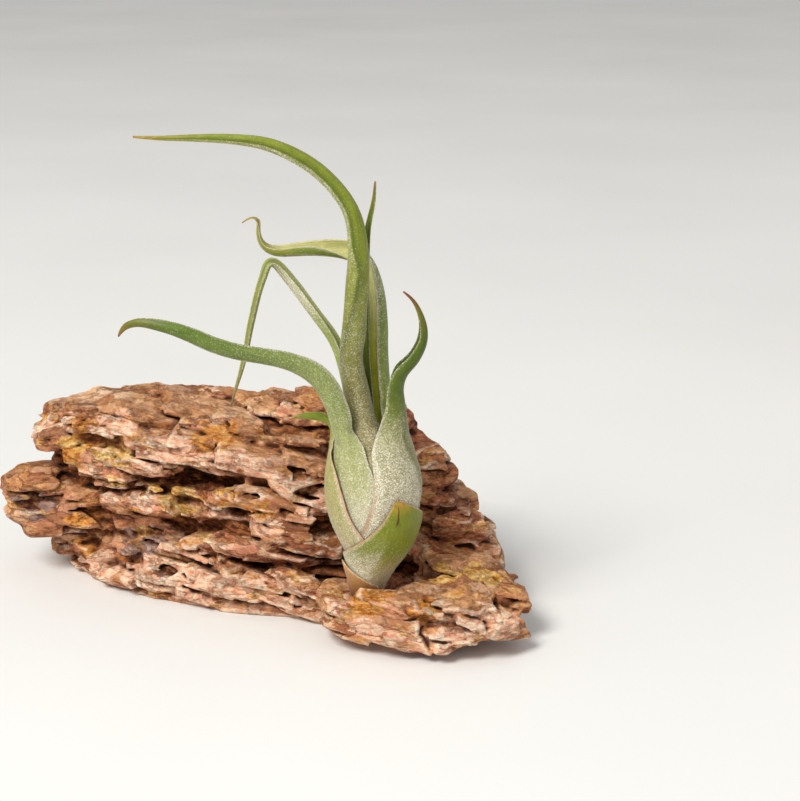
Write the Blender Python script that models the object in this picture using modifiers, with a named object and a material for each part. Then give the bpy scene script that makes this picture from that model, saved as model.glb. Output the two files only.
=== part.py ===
"""A bulbous air plant standing in a pocket of a rough layered stone. Metres, +Z up, stone on z = 0."""
import math
import random

import bmesh
import bpy
from mathutils import Vector
from mathutils.geometry import delaunay_2d_cdt
from mathutils.noise import cell_vector, noise, voronoi

MM = 0.001

# Driving dimensions of the bulb, in millimetres.
FOOT_Z = 20.0
SEAT_Z = 18.2
SEAT_GAP = 0.3
LAYER_PITCH = 1.0
SHEATH_T = 0.65
BLADE_T = 1.0
# Height, centre and half width of the bulb's outline.
BULB = (
    (20.0, 40.2, 6.3),
    (23.2, 40.5, 7.0),
    (30.3, 41.8, 9.6),
    (37.7, 43.3, 12.6),
    (46.4, 43.1, 15.9),
    (55.0, 42.8, 18.0),
    (63.9, 42.9, 18.7),
    (70.5, 42.8, 18.0),
    (77.7, 42.5, 16.5),
    (85.7, 41.8, 14.9),
    (92.0, 41.5, 13.6),
)
# Layers of sheath stand off from the outline by this many pitches at these heights.
STANDOFF = ((20.0, 0.5), (30.0, 0.6), (50.0, 2.4), (92.0, 2.5))

# The stem that all the leaves grow from.
STEM_PLATE_R = 6.0
STEM_NECK_R = 1.8
STEM_CORE_R = 2.6
STEM_TOP_Z = 34.0
STEM_SIDES = 16

# All sheaths have their sections at these heights, so that they nest without touching.
LEVELS = (22.0, 25.0, 28.0, 31.0, 34.5, 38.0, 42.0, 46.0, 50.5, 55.0, 60.0, 66.0, 72.0, 77.0)

# Steps round the section, in the sheath and in the blade, and along the blade between its rows.
MARGIN_SWING = 20.0
SHEATH_STEPS = 14
BLADE_STEPS = 7
LENGTH_STEPS = 2

# The box of the whole is centred on the origin by this shift.
SHIFT = (7.30, -40.75, 0.0)

# Each leaf: its layer in the bulb, then its sheath rows (height, left margin, right margin in degrees
# round the bulb, 0 to the right and -90 to the front, and how far it draws in from its layer), then its
# blade rows (x, y, z, radius, half angle of the channel, and the way its keel faces).
LEAVES = {
    "dry_base_sheath": (0, (
        (20.0, -262, -52, -0.5),
        (25.0, -240, -76, -0.6),
        (28.0, -224, -100, -0.6),
        (30.4, -208, -122, -0.6),
        (32.2, -196, -150, -0.6),
    ), ()),
    "front_scale": (1, (
        (20.0, -242, 62, -0.3),
        (26.0, -230, 58, -0.4),
        (29.5, -216, 50, -0.5),
        (33.0, -197, 42, -0.5),
        (36.5, -172, 32, -0.5),
        (40.2, -136, 22, -0.5),
        (44.8, -96, 10, -0.4),
        (49.5, -78, -6, -0.2),
        (53.2, -64, -16, 0),
        (56.0, -60, -30, 0),
        (58.2, -57, -43, 0),
    ), ()),
    "leaf_small_left": (2, (
        (20.0, -296, -18, 0),
        (26.0, -288, -38, 0),
        (31.0, -276, -66, 0),
        (37.0, -264, -96, 0),
        (43.4, -256, -117, 0),
        (51.0, -250, -126, 0),
        (59.0, -243, -133, 0),
        (66.5, -235, -143, 0),
        (73.0, -224, -156, 0),
        (77.5, -212, -168, 0),
    ), (
        (24.2, 1.6, 84.2, 2.3, 88, (-0.95, 0.1, -0.25)),
        (21.6, 0.4, 89.0, 2.0, 96, (-0.75, -0.25, -0.6)),
        (17.6, -1.2, 93.0, 1.6, 100, (-0.25, -0.45, -0.85)),
        (14.4, -2.4, 93.8, 1.05, 100, (0.05, -0.5, -0.85)),
        (11.6, -3.4, 92.8, 0.5, 100, (0.1, -0.5, -0.85)),
    )),
    "leaf_right_s": (3, (
        (20.0, -152, 112, 0),
        (26.0, -146, 110, 0),
        (31.0, -137, 106, 0),
        (37.0, -125, 102, 0),
        (43.0, -113, 97, 0),
        (48.0, -97, 92, 0),
        (55.0, -88, 86, 0),
        (63.0, -89, 77, 0),
        (70.0, -90, 65, 0),
        (76.0, -88, 50, 0),
        (81.0, -84, 34, 0),
    ), (
        (50.6, -5.2, 88.9, 5.3, 98, (0.87, -0.5, 0.0)),
        (50.2, -6.8, 98.2, 4.5, 104, (0.82, -0.57, -0.1)),
        (50.2, -7.6, 105.1, 3.8, 106, (0.72, -0.62, -0.3)),
        (52.4, -8.0, 111.4, 3.5, 106, (0.55, -0.6, -0.6)),
        (57.2, -8.0, 116.4, 3.0, 106, (0.58, -0.55, -0.6)),
        (60.5, -7.4, 122.4, 2.45, 106, (0.85, -0.5, -0.15)),
        (61.0, -6.6, 128.0, 1.9, 106, (0.9, -0.4, 0.15)),
        (59.6, -5.4, 133.3, 1.35, 104, (0.8, -0.4, 0.45)),
        (57.3, -4.4, 137.6, 0.9, 100, (0.7, -0.4, 0.6)),
        (54.0, -3.6, 140.5, 0.42, 96, (0.6, -0.4, 0.7)),
    )),
    "leaf_left_sweep": (4, (
        (20.0, -264, -40, 0),
        (30.0, -252, -58, 0),
        (38.0, -242, -74, 0),
        (46.0, -233, -84, 0),
        (55.0, -226, -84, 0),
        (63.0, -220, -86, 0),
        (70.0, -214, -91, 0),
        (76.0, -207, -101, 0),
        (81.5, -199, -114, 0),
    ), (
        (32.9, -4.6, 87.6, 5.7, 92, (-0.84, -0.53, -0.08)),
        (29.9, -6.6, 97.2, 5.3, 98, (-0.75, -0.62, -0.2)),
        (25.3, -9.8, 107.4, 5.2, 100, (-0.6, -0.66, -0.45)),
        (19.2, -13.2, 114.2, 4.9, 100, (-0.35, -0.68, -0.64)),
        (10.9, -16.4, 118.3, 4.0, 100, (-0.12, -0.7, -0.7)),
        (2.7, -18.6, 120.4, 3.6, 100, (-0.02, -0.7, -0.7)),
        (-6.8, -20.6, 122.4, 3.45, 100, (0.12, -0.72, -0.68)),
        (-15.7, -21.8, 125.4, 3.35, 100, (0.22, -0.72, -0.66)),
        (-23.0, -22.0, 128.8, 3.15, 102, (0.22, -0.72, -0.66)),
        (-30.1, -21.8, 131.4, 2.8, 104, (0.1, -0.72, -0.68)),
        (-37.5, -21.0, 132.8, 2.25, 106, (-0.05, -0.72, -0.69)),
        (-43.3, -20.2, 132.9, 1.65, 106, (-0.2, -0.72, -0.66)),
        (-48.1, -19.4, 130.8, 1.1, 102, (-0.6, -0.6, -0.45)),
        (-50.3, -18.6, 127.2, 0.42, 98, (-0.85, -0.5, 0.1)),
    )),
    "leaf_arch": (5, (
        (26.0, -150, -30, 0),
        (36.0, -150, -30, 0),
        (46.0, -150, -30, 0),
        (56.0, -150, -31, 0),
        (66.0, -148, -35, 0.6),
        (74.0, -143, -42, 2.4),
        (80.0, -136, -52, 4.6),
    ), (
        (38.8, -1.2, 88.2, 5.5, 108, (-0.04, -1.0, 0.0)),
        (36.9, 0.0, 97.6, 4.9, 114, (-0.15, -0.98, 0.0)),
        (34.3, -0.4, 113.6, 4.5, 118, (-0.25, -0.96, 0.0)),
        (35.5, -0.4, 125.2, 4.5, 118, (-0.25, -0.96, 0.0)),
        (36.7, 0.0, 140.4, 4.45, 118, (-0.2, -0.97, 0.05)),
        (37.4, 0.8, 155.4, 3.9, 116, (-0.05, -0.97, 0.15)),
        (35.3, 1.2, 168.5, 3.2, 114, (0.2, -0.92, 0.3)),
        (29.9, 1.6, 177.7, 2.95, 114, (0.35, -0.82, 0.45)),
        (21.5, 1.6, 185.9, 2.85, 114, (0.35, -0.75, 0.55)),
        (12.4, 1.0, 191.6, 2.75, 114, (0.25, -0.74, 0.62)),
        (2.3, 0.0, 195.4, 2.4, 112, (0.12, -0.74, 0.66)),
        (-9.3, -1.0, 197.0, 1.9, 110, (0.0, -0.74, 0.67)),
        (-21.9, -2.0, 197.5, 1.4, 106, (0.0, -0.74, 0.67)),
        (-34.7, -2.4, 197.5, 0.9, 100, (0.0, -0.74, 0.67)),
        (-44.5, -2.6, 198.0, 0.42, 96, (0.0, -0.74, 0.67)),
    )),
    "leaf_wavy_back": (5, (
        (26.0, -22, 90, 0),
        (36.0, -22, 90, 0),
        (46.0, -22, 90, 0),
        (56.0, -20, 90, 0),
        (66.0, -14, 89, 0.5),
        (74.0, -4, 86, 2.0),
        (80.5, 6, 82, 4.0),
    ), (
        (45.0, 9.6, 89.0, 4.9, 92, (0.94, 0.33, 0.0)),
        (44.6, 11.4, 98.5, 4.6, 96, (0.95, 0.3, 0.0)),
        (43.9, 12.6, 114.1, 4.4, 98, (0.96, 0.27, 0.0)),
        (44.0, 13.2, 123.7, 4.3, 98, (0.96, 0.27, 0.0)),
        (43.3, 13.8, 134.6, 4.1, 98, (0.93, 0.33, 0.15)),
        (40.8, 14.6, 144.6, 3.7, 98, (0.7, 0.65, 0.2)),
        (36.8, 15.0, 150.2, 3.5, 98, (0.2, 0.95, -0.1)),
        (30.6, 14.8, 152.9, 3.4, 98, (-0.1, 0.75, -0.65)),
        (20.3, 13.6, 154.3, 2.95, 98, (-0.05, 0.35, -0.93)),
        (12.4, 12.4, 154.2, 2.4, 98, (0.0, 0.25, -0.97)),
        (5.2, 11.4, 154.0, 2.05, 98, (0.1, 0.25, -0.96)),
        (0.9, 10.4, 156.4, 1.6, 98, (-0.5, 0.25, -0.82)),
        (-0.1, 9.4, 161.4, 1.15, 98, (-0.9, 0.2, -0.3)),
        (0.0, 8.8, 165.0, 0.85, 98, (-0.5, 0.2, 0.8)),
        (-2.7, 8.2, 166.3, 0.65, 98, (0.1, 0.2, 0.95)),
        (-6.2, 7.4, 164.3, 0.4, 96, (0.6, 0.2, 0.8)),
    )),
    "leaf_bent": (5, (
        (26.0, 98, 202, 0),
        (36.0, 98, 202, 0),
        (46.0, 98, 202, 0),
        (56.0, 98, 202, 0),
        (66.0, 99, 198, 0.6),
        (74.0, 102, 192, 2.4),
        (80.5, 106, 184, 4.6),
    ), (
        (34.6, 9.6, 90.0, 3.4, 96, (-0.6, 0.78, -0.1)),
        (33.4, 10.8, 98.5, 2.7, 104, (-0.6, 0.75, -0.25)),
        (31.4, 11.6, 108.4, 2.45, 108, (-0.6, 0.68, -0.35)),
        (28.0, 12.2, 118.4, 2.35, 110, (-0.62, 0.62, -0.45)),
        (21.3, 12.0, 128.3, 2.3, 110, (-0.65, 0.55, -0.5)),
        (14.8, 11.0, 137.9, 2.25, 110, (-0.65, 0.55, -0.5)),
        (8.9, 8.6, 146.2, 2.0, 108, (-0.62, 0.55, -0.55)),
        (5.6, 6.9, 149.9, 1.75, 106, (-0.3, 0.6, -0.7)),
        (3.1, 5.6, 149.7, 1.55, 104, (0.3, 0.6, -0.7)),
        (1.4, 4.4, 145.2, 1.4, 104, (0.75, 0.55, -0.35)),
        (-0.9, 3.4, 138.2, 1.3, 104, (0.75, 0.55, -0.35)),
        (-4.0, 1.8, 125.1, 1.2, 104, (0.8, 0.55, -0.25)),
        (-5.6, 0.9, 116.6, 1.1, 102, (0.8, 0.55, -0.25)),
        (-7.6, 0.2, 108.8, 0.9, 100, (0.8, 0.5, -0.3)),
        (-9.8, -0.6, 101.6, 0.7, 98, (0.8, 0.5, -0.3)),
        (-11.5, -1.4, 95.4, 0.4, 96, (0.8, 0.5, -0.3)),
    )),
    "leaf_upright_back": (None, (), (
        (41.9, 0.0, 34.6, 1.5, 120, (0.0, 1.0, 0.0)),
        (42.6, 1.2, 48.0, 2.0, 120, (0.0, 1.0, 0.0)),
        (42.2, 3.0, 66.0, 2.1, 120, (0.0, 1.0, 0.0)),
        (41.6, 5.0, 80.0, 2.1, 120, (0.05, 1.0, 0.0)),
        (40.9, 6.9, 92.0, 2.1, 118, (0.1, 1.0, 0.0)),
        (39.8, 8.8, 108.0, 2.0, 116, (0.1, 1.0, 0.0)),
        (39.2, 9.2, 124.0, 1.9, 114, (0.1, 1.0, 0.0)),
        (39.5, 8.4, 140.0, 1.7, 112, (0.1, 1.0, 0.0)),
        (40.0, 8.0, 154.0, 1.45, 110, (0.1, 1.0, 0.0)),
        (40.9, 8.0, 163.1, 1.1, 108, (0.15, 1.0, 0.0)),
        (42.9, 7.8, 172.3, 0.8, 104, (0.3, 0.95, 0.0)),
        (43.6, 7.6, 180.0, 0.4, 98, (0.3, 0.95, 0.0)),
    )),
}

# The stone's beds, from the bottom up: rows of (x, y, top, underside) round each outline, then how far
# the top edge and the lower edge are worn back, and how rough the outline is.
BEDS = (
    ("base", 1.2, 4.5, 0.7, (
        (-91, 79, 4, 0), (-84, 67, 6, 0), (-74, 56, 8, 0), (-59, 43, 9.5, 0), (-41, 33, 12.5, 0),
        (-24, 25, 16, 0), (-7, 20.5, 19, 0), (7, 17, 20, 0), (16, 12, 18, 0), (23, 9.5, 13, 0),
        (42, 13, 15, 0), (64, 14, 16, 0), (84, 20, 15, 0), (90, 32, 14, 0), (88, 62, 16, 0),
        (66, 88, 16, 0), (20, 98, 16, 0), (-40, 101, 16, 0), (-86, 98, 12, 0),
    )),
    ("lower", 1.6, 3.0, 1.2, (
        (-100, 86, 14, 3), (-98, 77, 17, 4), (-86, 69, 18, 5), (-74, 60, 19, 7), (-52, 45, 22.5, 10),
        (-33, 35, 27, 14), (-17, 29, 30, 19), (-7, 26, 31, 22), (7, 23, 35, 23), (20, 20, 37, 22),
        (29, 25, 35, 20), (46, 27, 33, 18), (66, 27, 33, 16), (80, 27, 31, 15), (92, 28, 26, 13),
        (95, 36, 25, 13), (90, 62, 30, 14), (66, 90, 36, 12), (14, 102, 38, 12), (-48, 106, 34, 9),
        (-92, 103, 22, 7),
    )),
    ("ledge", 1.0, 2.4, 1.3, (
        (-77, 63, 37, 30), (-63, 53, 41.5, 33), (-52, 47, 43, 33), (-45, 43.5, 40, 33),
        (-37, 39.5, 38.5, 32), (-18, 34, 41, 34), (5, 28, 40, 33), (18, 24.5, 41, 34),
        (24, 27, 41, 34), (34, 34, 40, 33), (30, 60, 42, 28), (-20, 74, 42, 26), (-72, 88, 40, 26),
    )),
    ("core", 1.5, 2.0, 1.2, (
        (-97, 86, 59, 12), (-74, 66, 60, 15), (-52, 55, 62, 16), (-30, 48, 61, 18), (-10, 42, 58, 20),
        (10, 38, 50, 20), (28, 34, 46, 18), (46, 37, 48, 18), (60, 42, 50, 16), (66, 52, 54, 16),
        (60, 84, 62, 14), (20, 99, 62, 14), (-48, 103, 62, 14), (-95, 100, 56, 14),
    )),
    ("left_lobe", 2.4, 3.4, 1.2, (
        (-118, 78, 42, 27), (-113, 69, 46, 22), (-104, 65, 49, 20), (-94, 64.5, 48, 20.5),
        (-87, 65, 42, 21.5), (-78, 61, 36, 23), (-70, 66, 38, 24), (-74, 90, 44, 20),
        (-98, 99, 44, 22), (-114, 92, 42, 26),
    )),
    ("middle_ledge", 1.0, 2.0, 1.3, (
        (-80, 62, 50, 44), (-68, 55, 49.5, 44), (-59, 52, 48.5, 44.5), (-51, 48, 50, 43.5),
        (-42, 46.5, 47, 43), (-35, 50, 46, 42.5), (-34, 70, 48, 40), (-78, 86, 50, 40),
    )),
    ("cavity_sill", 1.4, 2.4, 1.3, (
        (-28, 44, 51, 40), (-20, 38, 49.5, 39), (-12, 35.5, 49, 39), (-3, 33.5, 48, 39),
        (8, 30.5, 47, 39), (18, 27.5, 45.5, 39), (27, 30, 46, 39), (34, 40, 46, 39),
        (26, 62, 48, 38), (-30, 70, 50, 38),
    )),
    ("right_step", 1.2, 2.2, 1.2, (
        (34, 36, 44, 34), (46, 33, 44, 35), (60, 31, 44, 36), (68, 27, 40, 35), (75, 28, 41.5, 35),
        (79, 32, 40.5, 34), (84, 31.5, 35, 30), (86.5, 36, 34, 28), (84, 60, 40, 26),
        (60, 82, 46, 30), (34, 64, 46, 30),
    )),
    ("right_shelf", 1.2, 2.4, 1.1, (
        (40, 38, 50, 42), (50, 35, 50.5, 42), (62, 33, 50, 42), (70, 34, 49, 42), (73.5, 38, 45, 41),
        (72, 56, 48, 40), (56, 74, 52, 40), (38, 62, 52, 40),
    )),
    ("upper_ledge", 1.2, 1.8, 1.2, (
        (-102, 73, 60, 56), (-95, 66.5, 61, 54.5), (-83, 61, 62, 53), (-74, 56.5, 63, 51.5),
        (-62, 51.5, 63.5, 53), (-50, 46, 61.5, 52), (-44, 44, 60, 53), (-39, 47, 59, 52),
        (-36, 70, 62, 50), (-60, 92, 62, 50), (-100, 94, 59, 50),
    )),
    ("top_slab", 1.6, 2.2, 1.3, (
        (-102, 74, 61.5, 57), (-94, 67.5, 66, 58), (-87, 63.5, 70, 61), (-74, 58, 73, 65),
        (-61.5, 52, 70.5, 63.5), (-48.5, 46, 68.5, 62), (-37, 42.5, 66.5, 60.5), (-25, 38.5, 64.5, 58),
        (-16, 36.5, 63, 57), (-6, 34.5, 62.5, 56.5), (1, 32, 60, 54.5), (9, 28, 54, 48),
        (16, 25.8, 50.5, 45), (24, 25, 48, 42.5), (31, 30, 50, 42.5), (42, 34, 56, 46),
        (54, 36.5, 59, 49), (63, 37.5, 58.5, 50.5), (70, 38.5, 56, 50), (72.5, 43, 57, 50),
        (68, 53, 63, 52), (57, 74, 72, 56), (40, 86, 74, 56), (14, 89, 75, 56), (-10, 91, 74.5, 57),
        (-40, 98, 75, 58), (-70, 102, 73, 58), (-95, 102, 68, 56), (-106, 97, 62.5, 55),
        (-106, 86, 61, 55),
    )),
    ("top_layer", 1.4, 1.0, 1.4, (
        (-90, 78, 73.5, 66), (-80, 70, 75, 69), (-66, 66, 75.5, 68), (-50, 60, 74, 66),
        (-34, 57, 72, 64), (-16, 52, 70, 62), (-2, 50, 69, 60), (14, 48, 66, 56), (22, 54, 66, 56),
        (20, 84, 76.5, 60), (-12, 90, 77, 60), (-50, 96, 77, 62), (-84, 98, 74, 62),
    )),
    ("hump", 1.8, 1.0, 1.2, (
        (0, 70, 75, 66), (10, 65, 78.5, 64), (22, 68, 78.5, 64), (27, 78, 77.5, 64),
        (16, 87, 78.5, 64), (2, 85, 77, 66),
    )),
    ("nub", 1.6, 1.0, 0.9, (
        (40, 58, 72, 58), (50, 54, 77, 60), (57, 57, 80, 62), (59, 64, 80, 62), (52, 74, 78, 60),
        (40, 72, 76, 60),
    )),
    ("spur", 1.8, 2.6, 0.8, (
        (17, -1, 10, 5), (20.5, -9.5, 14, 5.5), (27, -13.5, 17, 5.5), (41, -17.5, 17, 5.5),
        (49, -21.5, 17, 6), (60.5, -25, 16, 6), (67, -27.5, 15, 5), (83, -25.5, 15, 6),
        (93, -20.5, 15, 6), (101.5, -12.5, 14, 5), (103, -2, 17, 7), (102, 9, 17, 7),
        (96, 19, 18, 5), (84, 26, 18, 4), (60, 26, 17, 4), (44, 22, 17, 3), (24, 18, 16, 4),
    )),
    ("spur_cap", 0.9, 2.0, 0.5, (
        (25.5, -11.6, 25.5, 12), (32.5, -14.8, 25.2, 11), (41, -17.2, 24, 11), (49, -21, 22.5, 11),
        (60.5, -24.2, 21.5, 11), (67, -26.3, 20.5, 10), (82, -24.6, 19, 10), (88, -19, 18.5, 10),
        (87, -7, 21.5, 11), (80, 0.5, 24.5, 12), (69.5, 3, 26, 12), (62, 1.5, 25, 12),
        (57, -5.5, 23.5, 12), (50.5, -10.6, 23, 12), (40, -11.2, 24.5, 12), (32, -11.0, 26, 12),
    )),
    ("bench", 1.4, 2.0, 0.9, (
        (60, 8, 25.5, 13), (70, 4, 26, 13), (81, 2.5, 24, 13), (90, -4, 20.5, 12), (99.5, -7, 18, 12),
        (102.6, 2, 20, 12), (101, 11, 20, 12), (95, 18, 22, 12), (86, 26, 27, 12), (62, 27, 30, 12),
    )),
)
# The level patch of the pocket floor that the stem stands on.
SEAT_FLOOR_Z = 6.0
SEAT = ((26, -8.2), (42, -9), (56, -7), (60, 4), (54, 15), (38, 16), (24, 12), (22, 2))
# Spacing of the points along a bed's outline and inside it, and how far inside they keep.
OUTLINE_STEP = 10.5
INNER_STEP = 18.0
INNER_MARGIN = 6.0
ROUGHNESS = 1.25
SEED = 7
# Plates along the beds' edges: their share of the edges, their sides, and how clear of the bulb they stay.
CHIP_SHARE = 0.42
CHIP_SIDES = 6
CHIP_CLEAR = 24.0
PLAIN_BEDS = ("spur", "spur_cap", "bench", "nub", "hump")

# Hollows of the stone's front: centre and half sizes; the second half size is their depth.
HOLLOWS = (
    (-26, 50, 49, 20, 13, 6.0),
    (-13, 36, 40, 10, 8, 3.0),
    (-38, 42, 34.5, 10, 6, 2.6),
    (18, 30, 50, 9, 8, 4.0),
    (26, 26, 35, 13, 10, 8.0),
    (20, 20, 21, 15, 5, 4.0),
    (-82, 64, 16, 11, 5, 5.0),
    (-102, 64, 33, 13, 3, 9.0),
    (66, 36, 50, 8, 5, 4.0),
    (54, 28, 19, 12, 5, 4.0),
)
# The shards that the surface is broken into: how wide, deep and thick they are, how far they stand out or
# back, how much they tilt, how wide the step between two is as a share of their size, and how deep and
# wide the parting is where one lies on another.
SHARD = (27.0, 16.0, 7.0)
SHARD_PUSH = 1.5
SHARD_TILT = 1.0
SHARD_BLEND = 0.10
PARTING = 2.2
PARTING_SHARE = 0.22
# How far the beds dip to the right, by x, at the height where it is given.
DIP = ((-70.0, 0.0), (16.0, 14.0), (40.0, 10.0))
DIP_Z = 60.0
# The surface stays calm within the first distance of the foot, and is fully broken from the second.
CALM = (17.0, 27.0)
# The spacing of the points while the beds are joined and broken, and the triangles of the finished stone.
JOIN_STEP = 1.0
BREAK_STEP = 1.05
STONE_TRIANGLES = 6450
# Points of the finished stone that lie closer than this, in metres, are one.
MERGE = 0.00002

COLOURS = {
    "stone": (0.46, 0.25, 0.17, 1.0),
    "stem": (0.30, 0.19, 0.10, 1.0),
    "dry_base_sheath": (0.42, 0.27, 0.14, 1.0),
    "leaf": (0.33, 0.42, 0.20, 1.0),
}


def interpolate(table, at):
    """Straight-line reading of a table whose rows start with the position; gives the other columns."""
    if at <= table[0][0]:
        return table[0][1:]
    for low, high in zip(table, table[1:]):
        if at <= high[0]:
            share = (at - low[0]) / (high[0] - low[0])
            return tuple(a + (b - a) * share for a, b in zip(low[1:], high[1:]))
    return table[-1][1:]


def smooth(table, at):
    """Like interpolate, averaged over a short span so that the bulb's outline has no corners."""
    reads = [interpolate(table, at + offset) for offset in (-3.0, -1.5, 0.0, 1.5, 3.0)]
    return tuple(sum(column) / len(reads) for column in zip(*reads))


def bulb_at(z):
    """Centre, half width and standoff of the bulb, in straight runs between the levels."""
    table = [(level, *smooth(BULB, level), *smooth(STANDOFF, level)) for level in (FOOT_Z, *LEVELS, 82.0)]
    return interpolate(table, z)


def on_levels(sheath):
    """The sheath's rows read at its ends and at every level between, and halfway where a margin swings."""
    if not sheath:
        return []
    low, high = sheath[0][0], sheath[-1][0]
    heights = [low] + [z for z in LEVELS if low + 0.4 < z < high - 0.8] + [high]
    rows = [(z, *interpolate(sheath, z)) for z in heights]
    full = []
    for here, after in zip(rows, rows[1:]):
        full.append(here)
        if abs(after[1] - here[1]) > MARGIN_SWING:
            middle = (here[0] + after[0]) / 2
            full.append((middle, *interpolate(sheath, middle)))
    full.append(rows[-1])
    return full


def stations(layer, sheath, blade):
    """Rows of numbers for every station: centre, radius, half angle, keel, plane normal, thickness."""
    rows = []
    for z, left, right, drawn_in in sheath:
        centre_x, half_width, standoff = bulb_at(z)
        radius = half_width + LAYER_PITCH * (standoff - layer) - drawn_in
        facing = math.radians((left + right) / 2)
        rows.append([centre_x, 0.0, z, radius, (right - left) / 2,
                     math.cos(facing), math.sin(facing), 0.0, 0.0, 0.0, 1.0, SHEATH_T])
    for index, (x, y, z, radius, half, keel) in enumerate(blade):
        before = blade[max(index - 1, 0)]
        after = blade[min(index + 1, len(blade) - 1)]
        normal = Vector([after[i] - before[i] for i in range(3)]).normalized()
        if index == 0 and sheath:
            normal = (normal + Vector((0.0, 0.0, 1.0))).normalized()
        thickness = min(BLADE_T, max(0.6, radius * 0.4))
        rows.append([x, y, z, radius, half, *Vector(keel).normalized(), *normal, thickness])
    return rows


def spline(rows, first_blade, steps):
    """A smooth curve through the rows: the sheath's rows as they are, the blade's with steps between."""
    out = []
    last = len(rows) - 1
    for index in range(last):
        a, b = rows[max(index - 1, 0)], rows[index]
        c, d = rows[index + 1], rows[min(index + 2, last)]
        count = steps if index >= first_blade - 1 else 1
        for step in range(count):
            u = step / count
            row = []
            for p, q, r, s in zip(a, b, c, d):
                tangent_q, tangent_r = (r - p) / 2, (s - q) / 2
                from_q, from_r = 1 - 3 * u ** 2 + 2 * u ** 3, 3 * u ** 2 - 2 * u ** 3
                turn_q, turn_r = u ** 3 - 2 * u ** 2 + u, u ** 3 - u ** 2
                row.append(from_q * q + turn_q * tangent_q + from_r * r + turn_r * tangent_r)
            out.append(row)
    out.append(list(rows[-1]))
    return out


def section(row, steps):
    """The two arcs of one crescent section, outer and inner, from margin to margin."""
    centre = Vector(row[0:3])
    radius, half = row[3], math.radians(row[4])
    normal = Vector(row[8:11]).normalized()
    keel = Vector(row[5:8])
    keel = (keel - normal * keel.dot(normal)).normalized()
    side = normal.cross(keel)
    outer, inner = [], []
    for step in range(steps + 1):
        angle = -half + 2 * half * step / steps
        ray = keel * math.cos(angle) + side * math.sin(angle)
        outer.append(centre + ray * radius)
        inner.append(centre + ray * max(radius - row[11], radius * 0.2))
    return outer, inner


def strips(bm, low, high):
    """Triangles between two rings of one face; the upper ring may have half the steps of the lower."""
    if len(low) == len(high):
        for j in range(len(low) - 1):
            bm.faces.new((low[j], low[j + 1], high[j + 1]))
            bm.faces.new((low[j], high[j + 1], high[j]))
        return
    for j in range(len(high) - 1):
        bm.faces.new((low[2 * j], low[2 * j + 1], high[j]))
        bm.faces.new((low[2 * j + 1], high[j + 1], high[j]))
        bm.faces.new((low[2 * j + 1], low[2 * j + 2], high[j + 1]))


def leaf_mesh(layer, sheath, blade):
    """One closed channelled leaf: the same triangles on both faces, closed margins and ends."""
    bm = bmesh.new()
    rings = []
    sheath = on_levels(sheath)
    wide = SHEATH_STEPS if sheath and sheath[0][2] - sheath[0][1] > 150 else BLADE_STEPS
    rows = spline(stations(layer, sheath, blade), len(sheath), LENGTH_STEPS)
    for index, row in enumerate(rows):
        faces = section(row, wide if index < len(sheath) else BLADE_STEPS)
        rings.append([[bm.verts.new(p * MM) for p in face] for face in faces])
    for low, high in zip(rings, rings[1:]):
        for face in range(2):
            strips(bm, low[face], high[face])
        for end in (0, -1):
            bm.faces.new((low[0][end], high[0][end], high[1][end]))
            bm.faces.new((low[0][end], high[1][end], low[1][end]))
    for outer, inner in (rings[0], rings[-1]):
        strips(bm, outer, inner)
    bmesh.ops.recalc_face_normals(bm, faces=bm.faces)
    return bm


def stem_mesh():
    """A short turned stem: a plate at the foot and a slim core inside the bulb."""
    centre_x = BULB[0][1]
    lean = (41.9 - centre_x) / (STEM_TOP_Z - FOOT_Z)
    foot = SEAT_Z + SEAT_GAP
    profile = (
        (STEM_PLATE_R * 0.8, foot),
        (STEM_PLATE_R, foot + 0.4),
        (STEM_PLATE_R * 0.95, FOOT_Z - 0.35),
        (STEM_NECK_R, FOOT_Z - 0.3),
        (STEM_NECK_R, FOOT_Z + 2.5),
        (STEM_CORE_R, FOOT_Z + 5.5),
        (STEM_CORE_R, STEM_TOP_Z),
    )
    bm = bmesh.new()
    rings = []
    for radius, z in profile:
        x = centre_x + lean * max(0.0, z - FOOT_Z)
        ring = []
        for side in range(STEM_SIDES):
            angle = math.tau * side / STEM_SIDES
            place = Vector((x + radius * math.cos(angle), radius * math.sin(angle), z))
            ring.append(bm.verts.new(place * MM))
        rings.append(ring)
    for low, high in zip(rings, rings[1:]):
        for j in range(STEM_SIDES):
            k = (j + 1) % STEM_SIDES
            bm.faces.new((low[j], low[k], high[k], high[j]))
    bm.faces.new(list(reversed(rings[0])))
    bm.faces.new(rings[-1])
    bmesh.ops.recalc_face_normals(bm, faces=bm.faces)
    return bm


def roughened(outline, rough, rng):
    """The outline with points added about every OUTLINE_STEP, each pushed about by smooth noise."""
    points = []
    shift = rng.uniform(0, 100)
    for index, here in enumerate(outline):
        after = outline[(index + 1) % len(outline)]
        length = math.hypot(after[0] - here[0], after[1] - here[1])
        count = max(1, round(length / OUTLINE_STEP)) if rough else 1
        for step in range(count):
            share = step / count
            x, y, top, under = [a + (b - a) * share for a, b in zip(here, after)]
            push = rough * ROUGHNESS * rng.uniform(-1, 1) * (0.7 if step == 0 else 1.2)
            wave = rough * noise(Vector((x * 0.09, y * 0.09, shift))) * 1.5
            nx, ny = after[1] - here[1], here[0] - after[0]
            scale = (push + wave) / (length or 1.0)
            lift = 0.5 * rough * rng.uniform(-1, 1)
            points.append((x + nx * scale, y + ny * scale, top + lift, under))
    return points


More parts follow.
